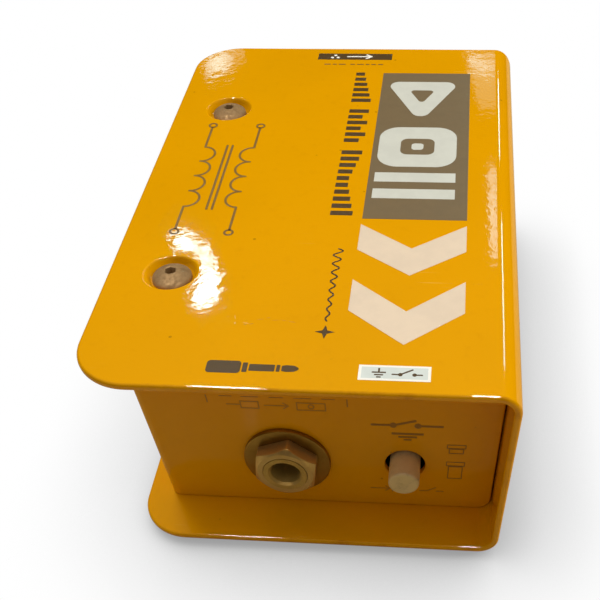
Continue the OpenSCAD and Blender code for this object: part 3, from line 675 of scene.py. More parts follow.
# ------------------------------------------------------------------ inner chassis
CB = 2.5
FO = 46.0
L_P = PX1 - (PX0 + CB)
L_A = math.pi * CB / 2
L_W = 2 * (PY - CB)
U1, U2 = L_P, L_P + L_A
U3, U4 = U2 + L_W, U2 + L_W + L_A
U5 = U4 + L_P
V_T, V_B = CZ1 - CB, CZ0 + CB

def fold_chassis(u, v):
    n = len(u)
    P, N, Tu, Tv = (np.zeros((n, 3)) for _ in range(4))
    Tv[:, 2] = 1
    P[:, 2] = v
    a = u < U1
    P[a, 0], P[a, 1] = PX1 - u[a], -PY
    N[a, 1] = -1
    Tu[a, 0] = -1
    b = (u >= U1) & (u < U2)
    th = (u[b] - U1) / CB
    P[b, 0], P[b, 1] = PX0 + CB - CB * np.sin(th), -PY + CB - CB * np.cos(th)
    N[b, 0], N[b, 1] = -np.sin(th), -np.cos(th)
    Tu[b, 0], Tu[b, 1] = -np.cos(th), np.sin(th)
    c = (u >= U2) & (u < U3)
    P[c, 0], P[c, 1] = PX0, -PY + CB + (u[c] - U2)
    N[c, 0] = -1
    Tu[c, 1] = 1
    d = (u >= U3) & (u < U4)
    th = (u[d] - U3) / CB
    P[d, 0], P[d, 1] = PX0 + CB - CB * np.cos(th), PY - CB + CB * np.sin(th)
    N[d, 0], N[d, 1] = -np.cos(th), np.sin(th)
    Tu[d, 0], Tu[d, 1] = np.sin(th), np.cos(th)
    e = u >= U4
    P[e, 0], P[e, 1] = PX0 + CB + (u[e] - U4), PY
    N[e, 1] = 1
    Tu[e, 0] = 1
    # flanges of the side wall
    y = -PY + CB + (u - U2)
    w = (u > U2) & (u < U3) & (np.abs(y) < FO + 0.01)
    for sign, v0, zf in ((1, V_T, CZ1), (-1, V_B, CZ0)):
        s = (v - v0) * sign
        arcz = w & (s > 0) & (s <= L_A)
        th = s[arcz] / CB
        P[arcz, 0] = PX0 + CB * (1 - np.cos(th))
        P[arcz, 2] = v0 + sign * CB * np.sin(th)
        N[arcz, 0], N[arcz, 2] = -np.cos(th), sign * np.sin(th)
        Tv[arcz, 0], Tv[arcz, 2] = sign * np.sin(th), np.cos(th)
        flat = w & (s > L_A)
        P[flat, 0] = PX0 + CB + (s[flat] - L_A)
        P[flat, 2] = zf
        N[flat, 0], N[flat, 2] = 0, sign
        Tv[flat, 0], Tv[flat, 2] = sign, 0
    return P, N, Tu, Tv

def build_chassis():
    uf = lambda y: U2 + (y + PY - CB)
    top_len = L_A + (-19.5 - (PX0 + CB))
    bot_len = L_A + (-12.0 - (PX0 + CB))
    vt, vb = V_T + top_len, V_B - bot_len
    a, b = uf(-FO), uf(FO)
    g = 1.0
    pts, rad = [], []
    def add(u, v, r):
        pts.append((u, v))
        rad.append(r)
    add(0, CZ0, 3.0)
    add(a - g, CZ0, 0.3)
    add(a - g, V_B + 0.8, 0.49)
    add(a, V_B + 0.8, 0.49)
    add(a, vb, 2.0)
    add(b, vb, 2.0)
    add(b, V_B + 0.8, 0.49)
    add(b + g, V_B + 0.8, 0.49)
    add(b + g, CZ0, 0.3)
    add(U5, CZ0, 3.0)
    add(U5, CZ1, 3.0)
    add(b + g, CZ1, 0.3)
    add(b + g, V_T - 0.8, 0.49)
    add(b, V_T - 0.8, 0.49)
    add(b, vt, 2.0)
    add(a, vt, 2.0)
    add(a, V_T - 0.8, 0.49)
    add(a - g, V_T - 0.8, 0.49)
    add(a - g, CZ1, 0.3)
    add(0, CZ1, 3.0)
    out = fillet(pts, rad, 6)
    lines = []
    for s0 in (U1, U3):
        for k in range(0, 9):
            u = s0 + L_A * k / 8
            lines.append((0, u, CZ0, CZ1))
            out = insert_on(out, 0, u)
    for v0, sign in ((V_T, 1), (V_B, -1)):
        for k in range(0, 9):
            v = v0 + sign * L_A * k / 8
            lines.append((1, v, a, b))
            out = insert_on(out, 1, v)
    # the flange lines only join points on the flange's own sides
    loops = [out]
    re = [0.3]
    jack_u, button_u = PX1 - JX, PX1 - BX
    loops.append(circle(jack_u, JZ, 4.85, 64, ccw=False)); re.append(0.15)
    loops.append(circle(button_u, BZ, 4.3, 64, ccw=False)); re.append(0.28)
    xu = U4 + (0 - (PX0 + CB))
    loops.append(circle(xu, ZM, 12.0, 96, ccw=False)); re.append(0.25)
    for x, z in ((-9.5, 12), (9.5, -12)):
        loops.append(circle(xu + x, ZM + z, 1.65, 32, ccw=False)); re.append(0.12)
    flange_v = lambda x, sign: (V_T + L_A + (x - (PX0 + CB))) if sign > 0 else (V_B - L_A - (x - (PX0 + CB)))
    rings, dim = [], []
    for sign in (1, -1):
        for y in (-SY, SY):
            cu, cv = uf(y), flange_v(SX, sign)
            loops.append(circle(cu, cv, 2.95, 40, ccw=False)); re.append(0.1)
            for r in (4.8, 5.2, 5.5, 5.8, 6.1, 6.4, 6.75):
                rings.append(circle(cu, cv, r, 48))
            dim.append((cu, cv, step_profile(5.0, 6.72, 1.5), step_profile(5.4, 6.9, 1.5)))
    for y in (-36, 36):
        loops.append(circle(uf(y), flange_v(-17, -1), 1.55, 32, ccw=False)); re.append(0.1)
    loops.append(circle(uf(0), flange_v(SX, -1), 1.55, 32, ccw=False)); re.append(0.1)
    o = sheet("chassis_sheet", loops, fold_chassis, SHEET, re, "enclosure", M["chassis"], lines, rings, dim, steps=3)
    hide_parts("inner_chassis")
    return o

build_chassis()

# ------------------------------------------------------------------ CAD nodes that keep their own mesh
def dress(node, mat, bevel=0.12, angle=35, segments=2):
    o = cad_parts[node]
    me = o.data
    me.materials.clear()
    me.materials.append(mat)
    me.polygons.foreach_set("use_smooth", np.ones(len(me.polygons), bool))
    if not bevel:
        return
    if "custom_normal" in me.attributes:
        me.attributes.remove(me.attributes["custom_normal"])
    w = o.modifiers.new("weld", "WELD")
    w.merge_threshold = 1e-6
    b = o.modifiers.new("bevel", "BEVEL")
    b.width = bevel * MM
    b.segments = segments
    b.limit_method = "ANGLE"
    b.angle_limit = math.radians(angle)
    b.harden_normals = True
    b.use_clamp_overlap = True

for node, mat, bev in (
        ("clinch_nuts", "zinc", 0.15), ("jack_housing", "black", 0.2), ("jack_bushing", "bushing", 0.0), ("jack_tip_spring", "brass", 0.0),
        ("jack_pins", "brass", 0.0), ("switch_body", "black", 0.2), ("switch_plunger", "nylon", 0.1), ("switch_contacts", "brass", 0.0),
        ("switch_latch_pin", "spring", 0.0), ("switch_terminals", "brass", 0.0),
        ("xlr_shell", "shell", 0.22), ("xlr_insert", "insert", 0.2), ("xlr_contacts", "brass", 0.0), ("xlr_latch", "latch", 0.15),
        ("xlr_pivot_pin", "zinc", 0.1), ("xlr_screws", "blackscrew", 0.08),
        ("circuit_board", "board", 0.0), ("board_standoffs", "zinc", 0.1), ("board_screws", "zinc", 0.08),
        ("transformer_can", "can", 0.15), ("transformer_base", "black", 0.1), ("transformer_core", "core", 0.1),
        ("transformer_bobbin", "nylon", 0.1), ("transformer_winding", "copper", 0.2), ("transformer_pins", "brass", 0.0),
        ("resistors", "resistor", 0.0), ("film_capacitors", "capacitor", 0.15),
        ("ground_stud", "zinc", 0.08), ("ground_lug", "zinc", 0.06), ("ground_nut", "zinc", 0.12), ("ground_wire", "wire", 0.0)):
    dress(node, M[mat], bev)

# ------------------------------------------------------------------ springs, as coils of wire behind the parts they push
def build_spring(name, centre, along, y0, y1, r, wire, turns):
    """A coil of round wire with closed end turns, from y0 to y1 along its axis."""
    ax = np.array(along, float)
    u = np.array([1.0, 0.0, 0.0])
    v = np.cross(ax, u)
    c = np.array(centre, float)
    n, ring = int(28 * turns), 10
    verts, faces = [], []
    def at(i):
        s = i / n
        a = TAU * turns * s
        e = 1.0 / turns
        h = 0.0
        # the first and last turn lie nearly flat, at the pitch of the wire itself
        flat = 2 * wire * 1.04
        total = (y1 - y0) - 2 * wire
        if s < e:
            h = flat * s / e
        elif s > 1 - e:
            h = total - flat * (1 - s) / e
        else:
            h = flat + (total - 2 * flat) * (s - e) / (1 - 2 * e)
        return c + u * r * math.cos(a) + v * r * math.sin(a) + ax * (y0 + wire + h)
    for i in range(n + 1):
        p = at(i)
        d = at(min(i + 1, n)) - at(max(i - 1, 0))
        d /= np.linalg.norm(d)
        a_ = p - c
        a_ = a_ - ax * a_.dot(ax)
        a_ /= np.linalg.norm(a_)
        a_ = a_ - d * a_.dot(d)
        a_ /= np.linalg.norm(a_)
        b_ = np.cross(d, a_)
        for k in range(ring):
            t = TAU * k / ring
            verts.append(p + wire * (math.cos(t) * a_ + math.sin(t) * b_))
    for i in range(n):
        for k in range(ring):
            k1 = (k + 1) % ring
            faces.append([i * ring + k, i * ring + k1, (i + 1) * ring + k1, (i + 1) * ring + k])
    faces.append([k for k in range(ring)][::-1])
    faces.append([n * ring + k for k in range(ring)])
    o = make(name + "_coil", verts, faces, "enclosure", M["spring"], smooth=60)
    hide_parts(name)
    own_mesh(o)
    return o

def build_springs():
    build_spring("switch_spring", (BX, 0, BZ), (0, 1, 0), -33.3, -26.35, 1.9, 0.25, 6)
    build_spring("xlr_latch_spring", (0, 39.6, 0), (0, 0, 1), 36.5, 37.95, 0.9, 0.14, 4)

build_springs()

# ------------------------------------------------------------------ cover screws
def build_screws():
    acc = ([], [])
    hr, rim, dome, sock = 3.96, 0.62, 1.45, 0.99
    sr = (hr * hr + dome * dome) / (2 * dome)
    zc = rim + dome - sr
    hexr = lambda a: sock / math.cos(((a + math.radians(30)) % math.radians(60)) - math.radians(30))
    prof = [(0, -6.4), (1.75, -6.4), (2.08, -6.05), (2.08, 0.0), (hr - 0.15, 0.0), (hr, 0.12), (hr, rim - 0.22), (hr - 0.02, rim - 0.1), (hr - 0.09, rim + 0.02)]
    for r in (3.7, 3.35, 3.0, 2.6, 2.2, 1.8, 1.5):
        prof.append((r, zc + math.sqrt(sr * sr - r * r)))
    k0 = len(prof)
    top = zc + math.sqrt(sr * sr - 1.34 ** 2)
    prof += [(1.34, top), (1.26, top - 0.02), (1.16, top - 0.10), (1.12, top - 0.24), (1.12, top - 1.35), (0.95, top - 1.42), (0, top - 1.7)]
    def twist(r, h, a, k):
        if k >= k0 + 2 and r > 0:
            return hexr(a) * (1.04 if k == k0 + 2 else 1.0 if k < k0 + 5 else 0.86), h
        return r, h
    for sign in (1, -1):
        for y in (-SY, SY):
            seat = ZT - 1.48 if sign > 0 else ZB + 1.48
            ang = math.radians({(1, -SY): 12, (1, SY): -18, (-1, -SY): 40, (-1, SY): 5}[(sign, y)])
            sd = np.array([math.cos(ang), math.sin(ang), 0])
            turned("", prof, ((SX, y, seat), (0, 0, sign), sd), None, None, n=96, closed=False, twist=twist, merge_into=acc)
    # right-handed for sign +1, so the lower pair is turned over
    n = len(acc[1]) // 4
    faces = [f[::-1] for f in acc[1][:2 * n]] + [f[::-1] for f in acc[1][2 * n:]]
    o = make("cover_screw_set", acc[0], faces, "enclosure", M["screw"], smooth=38)
    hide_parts("cover_screws")
    return o

build_screws()

# ------------------------------------------------------------------ output jack: washer and nut
def build_jack():
    front = (0, -1, 0)
    side = (1, 0, 0)
    # washer
    p = fillet([(4.88, 0.02), (JR, 0.02), (JR, 1.02), (4.88, 1.02)], [0.05, 0.16, 0.3, 0.08], 4)
    o = turned("jack_washer_ring", p, ((JX, -PY, JZ), front, side), "enclosure", M["washer"], n=128)
    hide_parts("jack_washer")
    # hexagon nut, chamfered by a cone, with softened corners
    af, h0, h1 = 12.7 / 2, 1.04, 4.37
    def hexr(a):
        d = ((a + math.radians(9)) % math.radians(60)) - math.radians(30)
        r = af / math.cos(d)
        return r - max(0.0, r - 7.05) ** 2 * 1.1
    rc = 5.95
    drop = lambda r: max(0.0, r - rc) * 0.62
    prof = [(4.79, h0), (6.9, h0), (7.0, h0 + 0.08), (7.0, h1 - 1.0), (7.0, h1 - 0.55), (6.7, h1 - 0.3), (6.4, h1 - 0.1), (rc, h1), (5.4, h1), (4.86, h1), (4.78, h1 - 0.06)]
    def twist(r, h, a, k):
        R = hexr(a)
        if k in (1,):
            return R - 0.08, h
        if k in (2,):
            return R, h
        if k == 3:
            return R, h1 - drop(R) - 0.22
        if k == 4:
            return R - 0.02, h1 - drop(R) - 0.07
        if k == 5:
            q = rc + (R - rc) * 0.9
            return q, h1 - drop(q) + 0.0
        if k == 6:
            q = rc + (R - rc) * 0.4
            return q, h1 - drop(q)
        return r, h
    o = turned("jack_hex_nut", prof, ((JX, -PY, JZ), front, (0, 0, 1)), "enclosure", M["nut"], n=144, smooth=24, twist=twist)
    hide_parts("jack_nut")
    return o

build_jack()

# ------------------------------------------------------------------ push button
def build_button():
    h = -PY - b_lo[1]                       # stands out of the panel
    back = -PY - b_hi[1]
    f = h
    prof = [(0, back), (BR - 0.1, back), (BR, back + 0.1), (BR, f - 0.55), (BR - 0.03, f - 0.36), (BR - 0.12, f - 0.18), (BR - 0.28, f - 0.06), (BR - 0.5, f),
            (BR - 0.9, f + 0.0), (BR * 0.5, f - 0.05), (0, f - 0.07)]
    # the square socket of the plunger stays in the CAD part; this shell is closed and carries it
    o = turned("button_cap_shell", prof, ((BX, -PY, BZ), (0, -1, 0), (1, 0, 0)), "lift_button", M["ivory"], n=96, smooth=40, closed=False)
    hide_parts("button_cap")
    return o

build_button()

# ------------------------------------------------------------------ base pad
def build_pad():
    lo, hi = box("base_pad")
    out = fillet([(lo[0], lo[1]), (hi[0], lo[1]), (hi[0], hi[1]), (lo[0], hi[1])], [8.8, 3, 3, 8.8], 14)
    loops = [out, circle(SX, -SY, 6.0, 64, ccw=False), circle(SX, SY, 6.0, 64, ccw=False)]
    def flat(u, v):
        n = len(u)
        P = np.stack([u, v, np.full(n, lo[2])], 1)
        N = np.tile([0.0, 0, -1], (n, 1))
        return P, N, np.tile([1.0, 0, 0], (n, 1)), np.tile([0.0, 1, 0], (n, 1))
    o = sheet("base_pad_sheet", loops, flat, hi[2] - lo[2], 0.35, "enclosure", M["rubber"])
    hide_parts("base_pad")

build_pad()

# ------------------------------------------------------------------ printed marks, all plain symbols
top = lambda x, y, h: (x, y, ZT + h)
front = lambda x, z, h: (x, -PY - h, z)

def arrow(x0, y0, x1, y1, w, head, spread):
    """A line with an open arrow head, as stroke polygons."""
    p, q = np.array([x0, y0], float), np.array([x1, y1], float)
    d = (q - p) / np.linalg.norm(q - p)
    n = np.array([-d[1], d[0]])
    a, b = q - d * head + n * spread, q - d * head - n * spread
    return stroke([tuple(p), tuple(q)], w) + stroke([tuple(a), tuple(q), tuple(b)], w)

def build_prints():
    # large panel: amplifier triangle, socket, transformer core
    panel = rect(8.3, 30.0, -12.5, 50.0)
    tri = fillet([(9.2, 45.6), (27.7, 45.6), (18.45, 26.2)], 2.2, 8)
    tri_in = fillet([(15.3, 41.4), (21.6, 41.4), (18.45, 34.8)], 0.8, 6)
    ring = rect(9.6, 27.3, 7.3, 24.0, 4.6, 10)
    ring_in = rect(14.6, 22.3, 12.3, 19.0, 1.7, 8)
    dot = rect(17.1, 19.8, 14.3, 17.0, 0.8, 6)
    bars = [rect(9.6, 27.3, 1.3, 4.9), rect(9.6, 27.3, -5.0, -1.4)]
    ink("panel_print", [panel], [tri, ring] + bars, top, M["ink_panel"])
    ink("panel_inner_print", [tri_in, ring_in], [dot], top, M["ink_panel"])
    ink("panel_amp_print", [tri], [tri_in], top, M["ink_silver"])
    ink("panel_socket_print", [ring], [ring_in], top, M["ink_silver"])
    ink("panel_dot_print", [dot], [], top, M["ink_silver"])
    ink("panel_core_print", bars, [], top, M["ink_silver"])
    # signal direction: two chevrons towards the output
    chev = []
    for y0, y1, w in ((-14.5, -31.0, 8.6), (-32.6, -50.9, 9.2)):
        chev.append([(8.2, y0), (19.1, y1 + w), (30.0, y0), (30.0, y0 - w), (19.1, y1), (8.2, y0 - w)])
    ink("chevron_print", chev, [], top, M["ink_cream"])
    # level scale
    scale, y = [], 50.2
    for count, heights in ((6, (2.2, 2.7, 3.2, 3.7, 4.2, 4.7)), (6, (4.7, 3.4, 4.7, 3.4, 4.7, 3.4)), (10, (4.7, 4.2, 3.7, 3.2, 2.7, 2.7, 3.2, 3.7, 4.2, 4.7))):
        for h in heights:
            scale.append(rect(1.4, 1.4 + h, y - 1.55, y, 0.12, 2))
            y -= 2.62
        y -= 2.55
    ink("level_scale_print", scale, [], top, M["ink_dark"])
    # decaying wave and a small four-pointed star
    wave = [(4.5 + 0.95 * math.exp(-k / 95) * math.sin(TAU * k / 14), -23.0 - 22.0 * k / 112) for k in range(113)]
    ink("wave_print", stroke(wave, 0.34, n=8), [], top, M["ink_dark"])
    star = []
    for k in range(8):
        r = 1.85 if k % 2 == 0 else 0.62
        star.append((4.5 + r * math.sin(TAU * k / 8), -48.05 + r * math.cos(TAU * k / 8)))
    ink("star_print", [star], [], top, M["ink_dark"])
    # white label with the ground and open-switch symbols
    lab, lab_in = rect(11.6, 24.35, -60.2, -56.4), rect(12.12, 23.85, -59.72, -56.86)
    ground = [rect(15.03, 15.37, -58.15, -57.1), rect(13.95, 16.45, -58.35, -58.0), rect(14.4, 16.0, -58.95, -58.62), rect(14.8, 15.6, -59.52, -59.2)]
    sw = stroke([(17.6, -58.6), (19.0, -58.6), (21.1, -57.35)], 0.34, n=10) + stroke([(21.4, -58.6), (22.8, -58.6)], 0.34, n=10) + [circle(19.0, -58.6, 0.42, 16), circle(21.5, -58.6, 0.42, 16)]
    ink("label_border_print", [lab], [lab_in], top, M["ink_white"])
    ink("label_field_print", [lab_in], ground + sw, top, M["ink_pale"])
    ink("label_mark_print", ground + sw, [], top, M["ink_dark"])
    # phone plug beside the output
    plug = [rect(-15.6, -9.4, -59.55, -56.45, 0.7, 5), rect(-9.1, -8.2, -59.2, -56.8, 0.1, 2), rect(-7.9, -3.3, -58.85, -57.15, 0.15, 3),
            rect(-3.0, -2.35, -58.85, -57.15, 0.08, 2), fillet([(-2.05, -57.35), (-2.05, -58.65), (-1.2, -58.85), (0.2, -58.75), (1.35, -58.0), (0.2, -57.25), (-1.2, -57.15)], [0.1, 0.1, 0.3, 0.5, 0.4, 0.5, 0.3], 4)]
    ink("plug_print", plug, [], top, M["ink_dark"])
    # thin schematic of the isolating transformer
    thin = []
    def coil(x, side, y0, r, count):
        pts = [(x, 24.0)]
        y = y0
        for _ in range(count):
            for i in range(13):
                a = math.radians(90 - 180 * i / 12)
                pts.append((x + side * r * math.cos(a) * 0.95, y - r + r * math.sin(a)))
            y -= 2 * r
        pts.append((x, -18.6))
        return pts
    for x, side in ((-30.3, 1), (-18.9, -1)):
        p = coil(x, side, 14.2, 2.95, 4)
        p[0], p[-1] = (x, 22.9), (x, -17.5)
        thin += stroke(p, 0.5, n=10)
    cores = stroke([(-25.2, 15.0), (-25.2, -10.2)], 0.5, n=10) + stroke([(-24.0, 15.0), (-24.0, -10.2)], 0.5, n=10)
    ink("transformer_print", thin + cores, [], top, M["ink_thin"])
    for k, (x, y) in enumerate(((-30.3, 23.75), (-30.3, -18.35), (-18.9, 23.75), (-18.9, -18.35))):
        ink(f"terminal_print_{k + 1}", [circle(x, y, 1.1, 28)], [circle(x, y, 0.62, 28)], top, M["ink_thin"])
    # rear label: three contacts and an arrow pointing in
    rear = rect(-9.3, 9.85, 57.1, 60.3)
    pins = [circle(-5.6, 58.15, 0.42, 16), circle(-4.1, 58.15, 0.42, 16), circle(-4.85, 59.35, 0.42, 16)]
    arr = stroke([(-1.6, 58.7), (4.6, 58.7)], 0.5, n=12) + stroke([(3.3, 59.65), (4.6, 58.7), (3.3, 57.75)], 0.5, n=12)
    ink("rear_label_print", [rear], pins + arr, top, M["ink_dark"])
    ink("rear_symbols_print", pins, [], top, M["ink_white"])
    ink("rear_arrow_print", arr, [], top, M["ink_white"])
    dash = [rect(x, x + w, 54.35, 54.75) for x, w in ((-7.3, 1.6), (-5.1, 1.0), (-3.6, 1.8), (-0.6, 1.2), (1.1, 1.8), (3.4, 0.9), (4.8, 1.2), (6.5, 1.3))]
    ink("rear_dash_print", dash, [], top, M["ink_thin"])

    # front panel: signal flow row, brackets, switch symbol, button states
    row = stroke([(-16.0, 33.2), (-13.4, 33.2)], 0.26, n=8) + stroke(rect(-13.2, -9.6, 32.3, 34.1), 0.26, closed=True, n=8)
    row += arrow(-8.4, 33.2, -3.6, 33.2, 0.26, 1.0, 0.75)
    row += stroke(rect(-1.9, 3.8, 32.25, 34.15), 0.26, closed=True, n=8)
    ink("flow_print", row, [], front, M["ink_front_thin"])
    ink("flow_cone_print", [circle(0.95, 33.2, 0.68, 24)], [circle(0.95, 33.2, 0.40, 24)], front, M["ink_front_thin"])
    ticks = [rect(-20.0, -19.72, 33.5, 35.5), rect(8.06, 8.34, 33.5, 35.5)]
    ticks += [rect(x, x + w, 35.25, 35.42) for x, w in ((-17.2, 2.6), (-12.8, 3.4), (-7.2, 2.8), (-2.4, 3.6), (3.2, 2.6))]
    ink("bracket_print", ticks, [], front, M["ink_front_thin"])
    g = stroke([(12.9, 29.0), (17.2, 29.0), (21.6, 30.35)], 0.56, n=14) + stroke([(22.2, 29.0), (27.1, 29.0)], 0.56, n=14)
    g += [circle(17.2, 29.0, 0.72, 20), circle(22.2, 29.0, 0.72, 20)]
    g2 = [rect(16.85, 23.4, 26.35, 26.95), rect(18.2, 22.05, 25.5, 26.0), rect(19.3, 20.95, 24.75, 25.2)]
    ink("lift_switch_print", g, [], front, M["ink_front"])
    ink("lift_ground_print", g2, [], front, M["ink_front"])
    for k, (cx0, cx1, z1, z0, bx0, bx1, y1, y0) in enumerate(((28.4, 32.2, 23.9, 22.9, 28.85, 31.8, 22.7, 21.4), (28.5, 32.3, 18.7, 17.55, 28.95, 31.9, 17.3, 13.5))):
        ink(f"button_state_print_{2 * k + 1}", stroke(rect(cx0, cx1, z0, z1), 0.24, closed=True, n=8), [], front, M["ink_front"])
        ink(f"button_state_print_{2 * k + 2}", stroke(rect(bx0, bx1, y0, y1 - 0.02), 0.24, closed=True, n=8), [], front, M["ink_front"])
    low = arrow(12.1, 9.2, 16.3, 9.2, 0.3, 0.9, 0.75) + [rect(16.75, 17.05, 8.1, 10.3)]
    low2 = stroke([(23.0, 8.9), (24.6, 8.9), (26.5, 10.1)], 0.3, n=8) + stroke([(26.7, 8.9), (28.2, 8.9)], 0.3, n=8)
    ink("press_print", low, [], front, M["ink_front_thin"])
    ink("open_print", low2, [], front, M["ink_front_thin"])

build_prints()

# ------------------------------------------------------------------ small marks of use
def sliver(p, q, w):
    """A thin uneven scratch from p to q, widest past its middle."""
    p, q = np.array(p, float), np.array(q, float)
    d = q - p
    s = np.array([-d[1], d[0]]) / np.linalg.norm(d) * w
    side = ((0.0, 0.0), (0.16, 0.28), (0.37, 0.22), (0.58, 0.5), (0.8, 0.3), (1.0, 0.0), (0.84, -0.2), (0.62, -0.42), (0.4, -0.5), (0.18, -0.18))
    return [tuple(p + d * t + s * h) for t, h in side[::-1]]

def build_wear():
    pale = ink_mat("scuff_pale", srgb(234, 180, 78), 0.5, 0.0)
    dark = ink_mat("scuff_dark", srgb(178, 130, 26), 0.6, 0.0)
    dull = ink_mat("scuff_dull", srgb(210, 144, 12), 0.6, 0.0)
    ink("scuff_marks", [sliver((-12.95, -44.0), (-12.6, -45.3), 0.16), sliver((-12.5, -45.9), (-12.55, -46.6), 0.22), sliver((-11.1, -46.05), (-9.85, -46.4), 0.24)], [], top, pale, up=0.008)
    ink("scuff_edges", [sliver((-11.0, -46.5), (-10.2, -46.72), 0.14), sliver((-9.8, -46.56), (-8.9, -46.22), 0.12)], [], top, dark, up=0.008)
    ink("scuff_line", [sliver((-8.6, -45.2), (-7.2, -44.92), 0.14), sliver((-6.9, -44.66), (-6.1, -44.46), 0.2), sliver((-5.8, -45.3), (-4.3, -45.12), 0.13),
                       sliver((-4.0, -45.08), (-2.9, -45.32), 0.11), sliver((-2.6, -45.4), (-1.1, -45.68), 0.18)], [], top, dull, up=0.006)

build_wear()

# ------------------------------------------------------------------ studio
CAM = Vector((24.84718855, -157.81036976, 137.6105951))
CAM_R = Vector((0.9967664737137049, 0.07618787374597277, -0.02553438415966556))
CAM_D = Vector((0.05156290942062123, -0.8501952769886122, -0.5239363104026457))
CAM_F = Vector((-0.061626806281248066, 0.5209255214330782, -0.8513746166448991))
FOCAL, CX, CY = 735.554780677, 377.3124, 590.8639

def on_top(px, py):
    """The point of the top surface seen at an image point, in mm."""
    d = CAM_F + CAM_R * ((px - CX) / FOCAL) + CAM_D * ((py - CY) / FOCAL)
    return CAM + d * ((ZT - CAM.z) / d.z)

def mirrored(p, n, dist):
    """Where something must stand to be seen reflected at p on a surface with normal n."""
    v = (CAM - p).normalized()
    return p + (2 * n.dot(v) * n - v) * dist

